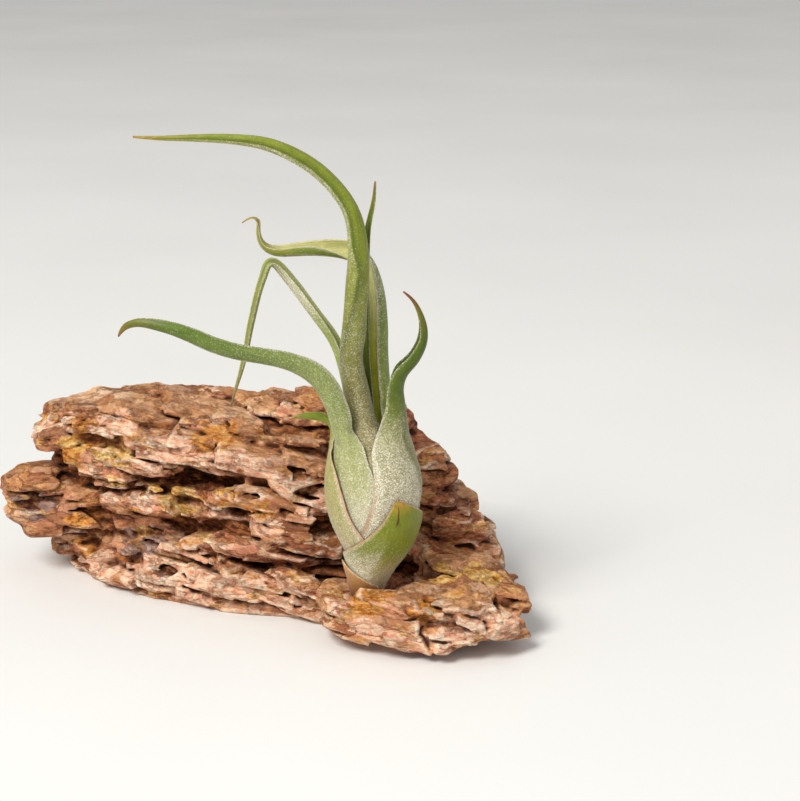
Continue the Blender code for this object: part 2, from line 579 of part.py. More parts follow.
def inset(points, amount):
    """The outline moved inwards by about amount, less where its points lie close together."""
    out = []
    count = len(points)
    for index in range(count):
        before, here, after = points[index - 1], points[index], points[(index + 1) % count]
        room = min(math.hypot(here[0] - other[0], here[1] - other[1]) for other in (before, after))
        tangent = Vector((after[0] - before[0], after[1] - before[1])).normalized()
        step = min(amount, 0.35 * room)
        out.append((here[0] - tangent.y * step, here[1] + tangent.x * step))
    return out


def inside(points, x, y):
    """Whether a place lies inside the outline, with a margin of INNER_MARGIN."""
    found = False
    for index, (bx, by, *_) in enumerate(points):
        ax, ay = points[index - 1][:2]
        if (ay > y) != (by > y) and x < ax + (y - ay) / (by - ay) * (bx - ax):
            found = not found
        length = math.hypot(bx - ax, by - ay) or 1.0
        share = max(0.0, min(1.0, ((x - ax) * (bx - ax) + (y - ay) * (by - ay)) / length ** 2))
        if math.hypot(ax + (bx - ax) * share - x, ay + (by - ay) * share - y) < INNER_MARGIN:
            return False
    return found


def inner_points(points, rough, rng):
    """A loose grid of places inside the outline, with the top and underside drawn from its rows."""
    made = []
    xs, ys = [p[0] for p in points], [p[1] for p in points]
    row = 0
    y = min(ys) + INNER_STEP / 2
    while y < max(ys):
        x = min(xs) + INNER_STEP * (0.5 if row % 2 else 1.0)
        while x < max(xs):
            px, py = x + rng.uniform(-2, 2), y + rng.uniform(-2, 2)
            if inside(points, px, py):
                weights = [1.0 / ((px - p[0]) ** 2 + (py - p[1]) ** 2) for p in points]
                top, under = [sum(w * p[i] for w, p in zip(weights, points)) / sum(weights) for i in (2, 3)]
                made.append((px, py, top + rough * rng.uniform(-1, 1), under))
            x += INNER_STEP
        y += INNER_STEP * 0.87
        row += 1
    return made


def bed_mesh(name, top_wear, under_wear, rough, outline):
    """One bed of the stone: a slab with a worn nose, its top and underside following its rows."""
    rng = random.Random(SEED + sum(ord(letter) for letter in name))
    points = roughened(outline, rough, rng)
    inner = inner_points(points, rough, rng)
    count = len(points)
    loop = [(j, (j + 1) % count) for j in range(count)]
    plan = [Vector(p[:2]) for p in points + inner]
    cells = delaunay_2d_cdt(plan, loop, [], 1, 0.001)
    triangles = [tuple(cells[3][v][0] for v in face) for face in cells[2]]
    edges = (
        inset(points, top_wear),
        [p[:2] for p in points],
        inset(points, under_wear * 0.3),
        inset(points, under_wear),
    )
    bm = bmesh.new()
    rings = []
    for level, edge in enumerate(edges):
        ring = []
        for (x, y), (_, _, top, under) in zip(edge, points):
            most = (top - under) * 0.35
            z = (top, top - min(top_wear, most), under + min(under_wear * 0.7, most), under)[level]
            ring.append(bm.verts.new(Vector((x, y, z)) * MM))
        rings.append(ring)
    for high, low in zip(rings, rings[1:]):
        for j, k in loop:
            bm.faces.new((low[j], low[k], high[k]))
            bm.faces.new((low[j], high[k], high[j]))
    for ring, column in ((rings[0], 2), (rings[3], 3)):
        verts = ring + [bm.verts.new(Vector((p[0], p[1], p[column])) * MM) for p in inner]
        for triangle in triangles:
            bm.faces.new([verts[v] for v in triangle])
    bmesh.ops.recalc_face_normals(bm, faces=bm.faces)
    return bm


def chip_beds():
    """Thin splintered plates that stand a little out of the beds' broken edges, by a seeded rule."""
    rng = random.Random(SEED)
    made = []
    for name, _, _, _, outline in BEDS:
        if name in PLAIN_BEDS:
            continue
        for index, here in enumerate(outline):
            after = outline[(index + 1) % len(outline)]
            length = math.hypot(after[0] - here[0], after[1] - here[1])
            along_x, along_y = (after[0] - here[0]) / length, (after[1] - here[1]) / length
            share, level = rng.uniform(0.2, 0.8), rng.uniform(0.25, 0.75)
            half_long, half_deep = rng.uniform(7, 17), rng.uniform(5, 8)
            thick, tilt = rng.uniform(2.0, 3.8), rng.uniform(-0.16, 0.02)
            wobble = [rng.uniform(0.7, 1.15) for _ in range(CHIP_SIDES)]
            if rng.random() > CHIP_SHARE * length / 14:
                continue
            x, y, top, under = [a + (b - a) * share for a, b in zip(here, after)]
            x, y = x - along_y * half_deep * 0.62, y + along_x * half_deep * 0.62
            z = under + (top - under) * level
            clear = math.hypot(x - BULB[6][1], y) - half_long
            if clear < CHIP_CLEAR or z < 5 or top - under < 4:
                continue
            rows = []
            for step in range(CHIP_SIDES):
                angle = math.tau * step / CHIP_SIDES
                dx = half_long * math.cos(angle) * wobble[step]
                dy = half_deep * math.sin(angle) * wobble[step]
                px, py = x + dx * along_x - dy * along_y, y + dx * along_y + dy * along_x
                middle = z + dx * along_x * tilt
                rows.append((px, py, middle + thick / 2, middle - thick / 2))
            made.append(("chip_%d" % len(made), 0.5, 0.9, 0.0, tuple(rows)))
    return made


def seat_mesh():
    """The pocket floor: a plain block with a level top."""
    bm = bmesh.new()
    low = [bm.verts.new(Vector((x, y, SEAT_FLOOR_Z)) * MM) for x, y in SEAT]
    high = [bm.verts.new(Vector((x, y, SEAT_Z)) * MM) for x, y in SEAT]
    for j in range(len(SEAT)):
        k = (j + 1) % len(SEAT)
        bm.faces.new((low[j], low[k], high[k], high[j]))
    bm.faces.new(list(reversed(low)))
    bm.faces.new(high)
    bmesh.ops.recalc_face_normals(bm, faces=bm.faces)
    return bm


def material(name, colour):
    """A plain Principled material."""
    made = bpy.data.materials.new(name)
    made.use_nodes = True
    shader = made.node_tree.nodes["Principled BSDF"]
    shader.inputs["Base Color"].default_value = colour
    shader.inputs["Roughness"].default_value = 0.85
    return made


def add_object(name, bm, collection):
    """A mesh object from a bmesh, which is freed."""
    mesh = bpy.data.meshes.new(name)
    bm.to_mesh(mesh)
    bm.free()
    obj = bpy.data.objects.new(name, mesh)
    collection.objects.link(obj)
    return obj


def keep_largest(bm):
    """Drops loose scraps and sealed hollows: only the island with the most faces stays."""
    islands, seen = [], set()
    for start in bm.verts:
        if start in seen:
            continue
        island, waiting = [], [start]
        seen.add(start)
        while waiting:
            vert = waiting.pop()
            island.append(vert)
            for edge in vert.link_edges:
                other = edge.other_vert(vert)
                if other not in seen:
                    seen.add(other)
                    waiting.append(other)
        islands.append(island)
    islands.sort(key=len)
    bmesh.ops.delete(bm, geom=[vert for island in islands[:-1] for vert in island], context="VERTS")


def hollow_at(place):
    """How far back a point of the front lies in the hollows."""
    deepest = 0.0
    for x, y, z, wide, deep, high in HOLLOWS:
        offset = Vector(((place.x - x) / wide, (place.y - y) / (deep + 4.0), (place.z - z) / high))
        deepest = max(deepest, deep * (1.0 - offset.length_squared))
    return deepest


def broken(place):
    """How far the surface stands out or back at a point, with the shard that the point belongs to."""
    x, y, z = place
    bed = z + interpolate(DIP, x)[0] * z / DIP_Z
    spot = Vector((x / SHARD[0], y / SHARD[1], bed / SHARD[2]))
    distances, centres = voronoi(spot)
    pushes = []
    for centre in centres[:2]:
        dice = cell_vector(centre * 31.7) * 2.0 - Vector((1.0, 1.0, 1.0))
        turn = cell_vector(centre * 17.3) * 2.0 - Vector((1.0, 1.0, 1.0))
        pushes.append(SHARD_PUSH * dice.x + SHARD_TILT * turn.dot(spot - centre))
    gap = distances[1] - distances[0]
    share = 0.5 + 0.5 * min(1.0, gap / SHARD_BLEND)
    lying = abs((centres[1] - centres[0]).normalized().z)
    parting = PARTING * lying * max(0.0, 1.0 - gap / PARTING_SHARE)
    return share * pushes[0] + (1.0 - share) * pushes[1] - parting


def break_surface(mesh):
    """Breaks the joined beds into shards and hollows, and carries their flat underside down a little."""
    facings = [vertex.normal.copy() for vertex in mesh.vertices]
    for vertex, facing in zip(mesh.vertices, facings):
        place = vertex.co / MM
        if place.z < 0.8:
            vertex.co.z = -2.5 * MM
            continue
        calm = (math.hypot(place.x - BULB[0][1], place.y) - CALM[0]) / (CALM[1] - CALM[0])
        if calm > 0.0:
            back = hollow_at(place)
            place = place + facing * broken(place) * min(1.0, calm)
            place.y += back
        vertex.co = place * MM


def modified(obj, kind, **settings):
    """The object's mesh with one modifier applied."""
    modifier = obj.modifiers.new(kind.lower(), kind)
    for name, value in settings.items():
        setattr(modifier, name, value)
    bpy.context.view_layer.update()
    baked = bpy.data.meshes.new_from_object(obj.evaluated_get(bpy.context.evaluated_depsgraph_get()))
    obj.modifiers.clear()
    obj.data = baked


def build_stone(collection, scratch):
    """The beds joined into one solid, broken into shards, thinned to facets and set on a flat underside."""
    whole = bmesh.new()
    for bm in [bed_mesh(*bed) for bed in BEDS + tuple(chip_beds())]:
        part = bpy.data.meshes.new("bed")
        bm.to_mesh(part)
        bm.free()
        whole.from_mesh(part)
        bpy.data.meshes.remove(part)
    stone = add_object("stone", whole, collection)
    modified(stone, "REMESH", mode="VOXEL", voxel_size=JOIN_STEP * MM)
    break_surface(stone.data)
    modified(stone, "REMESH", mode="VOXEL", voxel_size=BREAK_STEP * MM)
    triangles = sum(len(face.vertices) - 2 for face in stone.data.polygons)
    modified(stone, "DECIMATE", ratio=STONE_TRIANGLES / triangles, use_collapse_triangulate=True)
    bm = bmesh.new()
    bm.from_mesh(stone.data)
    keep_largest(bm)
    geometry = bm.verts[:] + bm.edges[:] + bm.faces[:]
    down = Vector((0.0, 0.0, -1.0))
    cut = bmesh.ops.bisect_plane(bm, geom=geometry, plane_co=Vector(), plane_no=down, clear_outer=True)
    rim = [item for item in cut["geom_cut"] if isinstance(item, bmesh.types.BMEdge)]
    bmesh.ops.triangle_fill(bm, edges=rim, use_beauty=True)
    bmesh.ops.recalc_face_normals(bm, faces=bm.faces)
    bm.to_mesh(stone.data)
    bm.free()
    seat = add_object("seat", seat_mesh(), scratch)
    modified(stone, "BOOLEAN", operation="UNION", object=seat, solver="EXACT")
    bpy.data.objects.remove(seat)
    stone.data.name = "stone"
    bm = bmesh.new()
    bm.from_mesh(stone.data)
    keep_largest(bm)
    bmesh.ops.remove_doubles(bm, verts=bm.verts, dist=MERGE)
    bmesh.ops.dissolve_degenerate(bm, dist=MERGE, edges=bm.edges)
    bmesh.ops.triangulate(bm, faces=bm.faces)
    bmesh.ops.recalc_face_normals(bm, faces=bm.faces)
    bm.to_mesh(stone.data)
    bm.free()
    return stone


def main():
    for obj in list(bpy.data.objects):
        bpy.data.objects.remove(obj)
    plant = bpy.data.collections.new("air_plant")
    scratch = bpy.data.collections.new("beds")
    bpy.context.scene.collection.children.link(plant)
    bpy.context.scene.collection.children.link(scratch)
    made = [build_stone(plant, scratch), add_object("stem", stem_mesh(), plant)]
    for name, parts in LEAVES.items():
        made.append(add_object(name, leaf_mesh(*parts), plant))
    for obj in made:
        colour = COLOURS.get(obj.name, COLOURS["leaf"])
        obj.data.materials.clear()
        obj.data.materials.append(material(obj.name + "_finish", colour))
        for vertex in obj.data.vertices:
            vertex.co += Vector(SHIFT) * MM
    bpy.data.collections.remove(scratch)


main()
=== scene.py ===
"""The looks of the air plant on its stone: fine leaves with scales, the sculpted stone, light, camera."""
import math

import bpy
import numpy as np
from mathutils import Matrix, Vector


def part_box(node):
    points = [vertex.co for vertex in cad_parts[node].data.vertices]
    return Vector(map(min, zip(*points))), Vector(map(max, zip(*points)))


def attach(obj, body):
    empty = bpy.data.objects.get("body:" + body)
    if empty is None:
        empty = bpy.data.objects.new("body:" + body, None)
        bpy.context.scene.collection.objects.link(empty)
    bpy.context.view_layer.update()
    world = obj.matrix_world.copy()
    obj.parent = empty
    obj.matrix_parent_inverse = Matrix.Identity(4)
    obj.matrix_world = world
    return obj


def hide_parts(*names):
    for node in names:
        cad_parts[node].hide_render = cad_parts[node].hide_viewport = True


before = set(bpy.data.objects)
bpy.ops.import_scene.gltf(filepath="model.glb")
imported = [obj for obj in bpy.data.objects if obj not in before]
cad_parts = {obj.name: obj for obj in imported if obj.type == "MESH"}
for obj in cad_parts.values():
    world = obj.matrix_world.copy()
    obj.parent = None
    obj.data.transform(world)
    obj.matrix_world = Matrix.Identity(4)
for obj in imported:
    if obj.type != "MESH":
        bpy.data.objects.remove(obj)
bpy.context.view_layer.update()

import openvdb
from mathutils import Vector

MM = 0.001

# Shapes are drawn in millimetres with the foot of the plant near x = 40, and this shift centres the whole.
SHIFT = np.array((7.30, -40.75, 0.0))

# The bulb: height, centre and half width of its outline, and how its layers of sheath stand off from that.
BULB = np.array((
    (20, 40.2, 6.3), (23.2, 40.5, 7), (30.3, 41.8, 9.6), (37.7, 43.3, 12.6), (46.4, 43.1, 15.9),
    (55, 42.8, 18), (63.9, 42.9, 18.7), (70.5, 42.8, 18), (77.7, 42.5, 16.5), (85.7, 41.8, 14.9),
    (92, 41.5, 13.6),
))
STANDOFF = np.array(((20, 0.5), (30, 0.6), (50, 2.4), (92, 2.5)))
LAYER_PITCH = 1.0
SHEATH_T = 0.65
BLADE_T = 1.0

# The leaves, from the outermost in. "layer" is a leaf's layer in the bulb. "sheath" has its rows round the
# bulb: height, left and right margin in degrees, 0 to the right and -90 to the front, and how far it draws
# in from its layer. "blade" has its rows beyond that: x, y, z, radius, half angle of the channel, and the
# way its keel faces. "neck" is a row between the two that keeps the margins free of a kink, and "tuck" says
# which margin of a sheath presses in against the leaf inside it, and how far. "ridge", "torn" and "ribs"
# shape the keel, the margins and the fibres.
# The looks: colours are as seen in daylight, 0 to 255. "outside" and "within" run from the foot to the tip.
# "scurf" is how thickly the pale scales lie along the leaf to the left of its "crease", whose way across
# the leaf runs from -1 to 1, "right" the same beyond it, and "hollow" how many of them lie in the channel.
# "line" is how dark the painted shade beside the crease is, "streak" how marked the fibres are, and "papery"
# how dry the margins are along the leaf. "tip" is where the dried tip starts, and its colour; "slit" is
# where a dark slit lies across the leaf, and from where to where it comes up along it.
FOOT = (0, 150, 104, 60)
INNER_FOOT = (0, 170, 130, 84)
NONE = ((0, 0), (1, 0))
PLAIN = dict(
    layer=None, sheath=(), neck=(), blade=(), tuck=(0, 0), ridge=0, torn=1, ribs=0.012,
    hollow=0.5, streak=0.15, line=0, crease=NONE, slit=None,
)
LEAVES = {}
LEAVES["dry_base_sheath"] = dict(
    PLAIN, layer=0, hollow=0.2, streak=1, torn=13, ribs=0.07, margin=(222, 180, 128),
    tip=(1.4, 140, 90, 50),
    sheath=((20, -262, -46, -0.5), (23.5, -244, -62, -0.6), (26.5, -228, -84, -0.7),
        (28.8, -206, -112, -0.8), (31, -190, -134, -0.8), (33.6, -172, -160, -0.7)),
    outside=((0, 112, 68, 34), (0.4, 166, 116, 68), (1, 198, 156, 108)),
    within=((0, 110, 70, 38), (1, 166, 118, 70)), scurf=NONE, right=NONE, papery=((0, 0.5), (1, 0.8)),
)
LEAVES["front_scale"] = dict(
    PLAIN, layer=1, ridge=0.02, streak=0.25, slit=(-0.38, 0.74, 0.8), margin=(200, 160, 112),
    tip=(0.955, 182, 140, 52),
    sheath=((20, -242, 62, -0.3), (26, -230, 58, -0.4), (29.5, -216, 50, -0.5), (33, -197, 42, -0.5),
        (36.5, -172, 32, -0.5), (40.2, -140, 24, -0.5), (44.8, -113, 16, -0.4), (49.3, -95, 4, -0.2),
        (53.5, -82, -10, 0), (57, -75, -28, 0), (60, -70, -45, 0), (62.8, -66.5, -59, 0)),
    outside=((0, 158, 124, 80), (0.16, 176, 160, 112), (0.34, 142, 134, 60), (0.5, 114, 122, 8),
        (0.86, 120, 128, 6), (0.96, 170, 142, 34)),
    within=((0, 150, 110, 66), (0.6, 140, 132, 62), (1, 150, 120, 60)),
    scurf=((0, 0.7), (0.22, 0.95), (0.4, 0.8), (0.54, 0.3), (0.7, 0.12), (1, 0.05)),
    right=((0, 0.5), (0.22, 0.5), (0.4, 0.16), (0.6, 0.03), (1, 0)),
    crease=((0, 0.05), (0.4, -0.15), (0.7, -0.45), (1, -0.6)), papery=((0, 0.5), (0.5, 0.9), (1, 1)),
)
LEAVES["leaf_small_left"] = dict(
    PLAIN, layer=2, hollow=0.6, streak=0.2, margin=(206, 164, 132), tip=(0.97, 168, 150, 70),
    sheath=((20, -296, -18, 0), (26, -288, -38, 0), (31, -276, -66, 0), (37, -264, -84, 0),
        (43.4, -256, -98, 0), (51, -250, -113, 0), (59, -243, -124, 0), (66.5, -235, -132, 0),
        (73, -224, -145, 0), (77.5, -212, -166, 0)),
    neck=(30.9, 3.2, 80.8, 5.2, 44, -0.97, 0.1, -0.1),
    blade=((28.6, 4.6, 84.4, 2.6, 84, -0.95, 0, -0.2), (26.8, 4.4, 88.6, 2.7, 90, -0.8, -0.35, -0.5),
        (22.6, 2.6, 91, 2.5, 96, -0.4, -0.72, -0.57), (17.8, -0.2, 91.8, 1.75, 98, -0.15, -0.78, -0.6),
        (14.2, -2, 92, 1, 98, 0, -0.78, -0.62), (11.6, -3.4, 91.4, 0.4, 98, 0.1, -0.75, -0.62)),
    outside=(FOOT, (0.14, 170, 142, 106), (0.3, 150, 142, 76), (0.66, 150, 146, 70), (0.76, 138, 148, 58),
        (0.84, 138, 154, 50), (1, 124, 138, 44)),
    within=(INNER_FOOT, (0.6, 160, 160, 84), (1, 120, 140, 50)),
    scurf=((0, 0.5), (0.2, 0.62), (0.4, 0.34), (0.7, 0.3), (0.82, 0.14), (1, 0.05)),
    right=((0, 0.5), (0.2, 0.62), (0.4, 0.34), (0.7, 0.3), (0.82, 0.1), (1, 0.03)),
    papery=((0, 0.8), (0.6, 1), (0.8, 0.3), (1, 0)),
)
LEAVES["leaf_right_s"] = dict(
    PLAIN, layer=3, ridge=0.02, hollow=0.3, line=0.3, margin=(186, 148, 112), tip=(0.95, 120, 66, 26),
    tuck=(-1, 2.6),
    sheath=((20, -152, 112, 0), (26, -146, 110, 0), (31, -137, 106, 0), (37, -140, 102, 0),
        (43, -131, 97, 0), (48, -112, 92, 0), (55, -99, 86, 0), (63, -91, 77, 0), (70, -89, 65, 0),
        (76, -90, 50, 0), (81, -91, 34, 0)),
    neck=(45.4, -1.7, 84.4, 11.1, 74, 0.866, -0.5, 0),
    blade=((48.8, -3.4, 87.6, 7.3, 104, 0.82, -0.57, 0), (50.2, -6.6, 98.2, 4.7, 112, 0.96, -0.2, -0.1),
        (50.2, -7.6, 105.1, 4, 116, 0.9, -0.05, -0.3), (52.4, -8, 111.4, 3.7, 118, 0.72, 0, -0.68),
        (57.2, -8, 116.4, 3.2, 118, 0.75, -0.02, -0.66), (60.5, -7.4, 122.4, 2.6, 118, 0.97, 0.14, -0.2),
        (61, -6.6, 128, 2, 116, 0.97, 0.14, 0.15), (59.6, -5.4, 133.3, 1.4, 112, 0.88, 0.05, 0.45),
        (57.3, -4.4, 137.6, 0.9, 104, 0.8, -0.05, 0.6), (54, -3.6, 140.5, 0.42, 96, 0.6, -0.4, 0.7)),
    outside=(FOOT, (0.1, 146, 118, 78), (0.25, 124, 110, 56), (0.45, 112, 110, 40), (0.58, 98, 108, 22),
        (0.64, 78, 94, 2), (0.85, 68, 88, 0), (1, 112, 94, 18)),
    within=(INNER_FOOT, (0.5, 120, 138, 50), (0.75, 66, 84, 18), (1, 100, 84, 30)),
    scurf=((0, 0.6), (0.12, 0.95), (0.24, 0.95), (0.38, 0.85), (0.5, 0.62), (0.58, 0.45), (0.63, 0.16),
        (0.68, 0.05), (1, 0)),
    # On this leaf the scales right of the crease are kept thin on the sheath to paint shade on its right
    # side.
    right=((0, 0.5), (0.12, 0.6), (0.24, 0.38), (0.38, 0.26), (0.5, 0.28), (0.58, 0.24), (0.63, 0.1),
        (0.68, 0.03), (1, 0)),
    crease=((0, -0.1), (1, -0.1)), papery=((0, 0.9), (0.26, 1), (0.36, 0.4), (0.44, 0), (1, 0)),
)
LEAVES["leaf_left_sweep"] = dict(
    PLAIN, layer=4, ridge=0.02, margin=(214, 206, 182), tip=(0.99, 150, 96, 40), tuck=(1, 3.4),
    sheath=((20, -264, -40, 0), (30, -252, -58, 0), (38, -242, -74, 0), (46, -233, -84, 0),
        (55, -226, -84, 0), (63, -220, -86, 0), (70, -214, -88, 0), (76, -207, -97, 0),
        (81.5, -199, -106, 0)),
    neck=(37.5, -2.2, 84.7, 9.9, 59, -0.875, -0.485, 0),
    blade=((32.9, -4.6, 87.6, 5.7, 92, -0.84, -0.53, -0.08),
        (29.9, -6.6, 97.2, 5.3, 98, -0.75, -0.62, -0.2), (25.3, -9.8, 107.4, 5.2, 100, -0.6, -0.66, -0.45),
        (19.2, -13.2, 114.2, 4.9, 100, -0.35, -0.68, -0.64),
        (10.9, -16.4, 118.3, 4, 100, -0.12, -0.7, -0.7), (2.7, -18.6, 120.4, 3.6, 100, -0.02, -0.7, -0.7),
        (-6.8, -20.6, 122.4, 3.45, 100, 0.12, -0.72, -0.68),
        (-15.7, -21.8, 125.4, 3.35, 100, 0.22, -0.72, -0.66),
        (-23, -22, 128.8, 3.15, 102, 0.22, -0.72, -0.66),
        (-30.1, -21.8, 131.4, 2.8, 104, 0.1, -0.72, -0.68),
        (-37.5, -21, 132.8, 2.25, 106, -0.05, -0.72, -0.69),
        (-43.3, -20.2, 132.9, 1.65, 106, -0.2, -0.72, -0.66),
        (-48.1, -19.4, 130.8, 1.1, 102, -0.6, -0.6, -0.45),
        (-50.3, -18.6, 127.2, 0.42, 98, -0.85, -0.5, 0.1)),
    outside=(FOOT, (0.08, 196, 180, 156), (0.17, 186, 178, 150), (0.25, 146, 148, 90), (0.29, 134, 142, 70),
        (0.55, 124, 140, 58), (0.7, 96, 116, 36), (0.9, 78, 100, 14), (1, 120, 106, 30)),
    within=(INNER_FOOT, (0.35, 150, 162, 84), (0.8, 92, 112, 40), (1, 130, 112, 50)),
    scurf=((0, 0.7), (0.1, 0.98), (0.19, 0.95), (0.26, 0.66), (0.34, 0.66), (0.45, 0.9), (0.7, 0.9),
        (0.85, 0.6), (1, 0)),
    right=((0, 0.7), (0.1, 0.98), (0.18, 0.94), (0.25, 0.56), (0.34, 0.42), (0.55, 0.32), (0.7, 0.22),
        (1, 0)),
    crease=((0, -0.2), (0.36, -0.45), (0.5, -0.22), (1, -0.15)), papery=((0, 0.3), (0.2, 0), (1, 0)),
)
LEAVES["leaf_arch"] = dict(
    PLAIN, layer=5, ridge=0.15, line=1, margin=(206, 198, 176), tip=(0.975, 176, 146, 60),
    sheath=((26, -150, -30, 0), (36, -150, -30, 0), (46, -150, -30, 0), (56, -150, -31, 0),
        (66, -148, -35, 0.6), (74, -143, -42, 2.4), (80, -136, -52, 4.6)),
    blade=((38.8, -1.2, 88.2, 5.5, 108, -0.04, -1, 0), (36.9, 0, 97.6, 4.9, 114, -0.15, -0.98, 0),
        (34.3, -0.4, 113.6, 4.5, 118, -0.25, -0.96, 0), (35.5, -0.4, 125.2, 4.5, 118, -0.25, -0.96, 0),
        (36.7, 0, 140.4, 4.45, 118, -0.2, -0.97, 0.05), (37.4, 0.8, 155.4, 3.9, 116, -0.05, -0.97, 0.15),
        (35.3, 1.2, 168.5, 3.2, 114, 0.2, -0.92, 0.3), (29.9, 1.6, 177.7, 2.95, 114, 0.35, -0.82, 0.45),
        (21.5, 1.6, 185.9, 2.85, 114, 0.35, -0.75, 0.55), (12.4, 1, 191.6, 2.75, 114, 0.25, -0.74, 0.62),
        (2.3, 0, 195.4, 2.4, 112, 0.12, -0.74, 0.66), (-9.3, -1, 197, 1.9, 110, 0, -0.74, 0.67),
        (-21.9, -2, 197.5, 1.4, 106, 0, -0.74, 0.67), (-34.7, -2.4, 197.5, 0.9, 100, 0, -0.74, 0.67),
        (-44.5, -2.6, 198, 0.42, 96, 0, -0.74, 0.67)),
    outside=(FOOT, (0.12, 144, 126, 68), (0.26, 112, 102, 34), (0.36, 108, 106, 26), (0.5, 116, 124, 24),
        (0.65, 116, 128, 22), (0.88, 128, 138, 36), (1, 150, 134, 46)),
    within=(INNER_FOOT, (0.3, 118, 120, 50), (0.8, 120, 116, 56), (1, 170, 136, 60)),
    scurf=((0, 0.6), (0.24, 0.5), (0.33, 0.34), (0.4, 0.26), (0.5, 0.24), (0.6, 0.55), (0.8, 0.6),
        (0.92, 0.3), (1, 0)),
    right=((0, 0.6), (0.24, 0.5), (0.33, 0.38), (0.42, 0.34), (0.5, 0.18), (0.56, 0.06), (0.9, 0.05),
        (1, 0)),
    crease=((0, -1), (0.34, -0.85), (0.42, -0.3), (0.48, 0), (0.52, 0.1), (0.57, -0.35), (0.66, -0.52),
        (1, -0.5)),
    papery=((0, 0), (0.6, 0), (0.7, 0.4), (1, 0.3)),
)
LEAVES["leaf_wavy_back"] = dict(
    PLAIN, layer=5, ridge=0.04, hollow=0.2, margin=(222, 214, 190), tip=(0.972, 170, 130, 56),
    sheath=((26, -22, 90, 0), (36, -22, 90, 0), (46, -22, 90, 0), (56, -20, 90, 0), (66, -14, 89, 0.5),
        (74, -4, 86, 2), (80.5, 6, 82, 4)),
    blade=((45, 9.6, 89, 4.9, 108, 0.88, 0.47, 0), (44.6, 11.4, 98.5, 4.6, 118, 0.84, 0.54, 0),
        (43.9, 12.6, 114.1, 4.4, 126, 0.8, 0.6, 0), (44, 13.2, 123.7, 4.3, 126, 0.8, 0.6, 0),
        (43.3, 13.8, 134.6, 4.1, 120, 0.8, 0.58, 0.15), (40.8, 14.6, 144.6, 3.7, 106, 0.66, 0.72, 0.2),
        (36.8, 15, 150.2, 3.5, 98, 0.2, 0.95, -0.1), (30.6, 14.8, 153.4, 4, 98, -0.1, 0.62, -0.78),
        (20.3, 13.6, 154.7, 4, 100, -0.05, 0.14, -0.98), (12.4, 12.4, 154.3, 3.6, 100, 0, 0.04, -0.99),
        (5.2, 11.4, 153.9, 2.8, 100, 0.1, 0.1, -0.98), (0.9, 10.4, 156.4, 1.6, 98, -0.5, 0.25, -0.82),
        (-0.1, 9.4, 161.4, 1.15, 98, -0.9, 0.2, -0.3), (0, 8.8, 165, 0.85, 98, -0.5, 0.2, 0.8),
        (-2.7, 8.2, 166.3, 0.65, 98, 0.1, 0.2, 0.95), (-6.2, 7.4, 164.3, 0.4, 96, 0.6, 0.2, 0.8)),
    outside=(FOOT, (0.15, 140, 130, 80), (0.3, 112, 124, 36), (0.6, 100, 120, 30), (0.85, 126, 138, 50),
        (1, 150, 138, 60)),
    # The channel's colours are partly the leaf's own paler yellow-green and partly painted light, brightened
    # for light shining through the leaf.
    within=(INNER_FOOT, (0.25, 178, 180, 40), (0.5, 186, 188, 64), (0.6, 192, 190, 128),
        (0.85, 194, 190, 124), (1, 170, 156, 70)),
    scurf=((0, 0.5), (0.28, 0.28), (0.45, 0.2), (0.58, 0.3), (0.66, 0.6), (0.85, 0.5), (1, 0.05)),
    right=((0, 0.5), (0.28, 0.28), (0.45, 0.18), (0.6, 0.12), (1, 0)),
    crease=((0, -0.1), (0.5, 0), (0.6, 0.58), (1, 0.5)), papery=((0, 0), (0.5, 0.2), (0.6, 0.6), (1, 0.6)),
)
LEAVES["leaf_bent"] = dict(
    PLAIN, layer=5, ridge=0.03, hollow=0.4, line=0.7, margin=(216, 210, 184), tip=(0.975, 150, 112, 52),
    sheath=((26, 98, 202, 0), (36, 98, 202, 0), (46, 98, 202, 0), (56, 98, 202, 0), (66, 99, 198, 0.6),
        (74, 102, 192, 2.4), (80.5, 106, 184, 4.6)),
    blade=((34.6, 9.6, 90, 3.4, 96, -0.6, 0.78, -0.1), (33.4, 10.8, 98.5, 2.7, 104, -0.6, 0.75, -0.25),
        (31.4, 11.6, 108.4, 2.6, 110, -0.7, 0.45, -0.4), (28, 12.2, 118.4, 2.75, 112, -0.76, 0.2, -0.55),
        (21.3, 12, 128.3, 2.8, 112, -0.78, 0.12, -0.6), (14.8, 11, 137.9, 2.7, 112, -0.78, 0.12, -0.6),
        (8.9, 8.6, 146.2, 2.4, 110, -0.76, 0.16, -0.62), (5.6, 6.9, 149.9, 2.1, 106, -0.4, 0.3, -0.85),
        (3.1, 5.6, 149.7, 1.9, 104, 0.3, 0.4, -0.85), (1.4, 4.4, 145.2, 1.8, 104, 0.75, 0.55, -0.35),
        (-0.9, 3.4, 138.2, 1.65, 104, 0.75, 0.55, -0.35), (-4, 1.8, 125.1, 1.5, 104, 0.8, 0.55, -0.25),
        (-5.6, 0.9, 116.6, 1.3, 102, 0.8, 0.55, -0.25), (-7.6, 0.2, 108.8, 1.05, 100, 0.8, 0.5, -0.3),
        (-9.8, -0.6, 101.6, 0.7, 98, 0.8, 0.5, -0.3), (-11.5, -1.4, 95.4, 0.4, 96, 0.8, 0.5, -0.3)),
    outside=(FOOT, (0.15, 140, 140, 84), (0.4, 138, 156, 66), (0.56, 146, 160, 80), (0.63, 196, 194, 162),
        (0.72, 120, 128, 56), (1, 124, 122, 50)),
    within=((0, 160, 130, 84), (0.3, 142, 158, 68), (0.6, 160, 168, 100), (1, 130, 130, 64)),
    scurf=((0, 0.5), (0.3, 0.3), (0.52, 0.3), (0.61, 0.85), (0.68, 0.3), (1, 0.1)),
    right=((0, 0.5), (0.3, 0.3), (0.52, 0.3), (0.62, 0.95), (0.7, 0.3), (1, 0.1)),
    crease=((0, 0.1), (1, 0.1)), papery=((0, 0), (0.5, 0.3), (0.7, 0), (1, 0)),
)
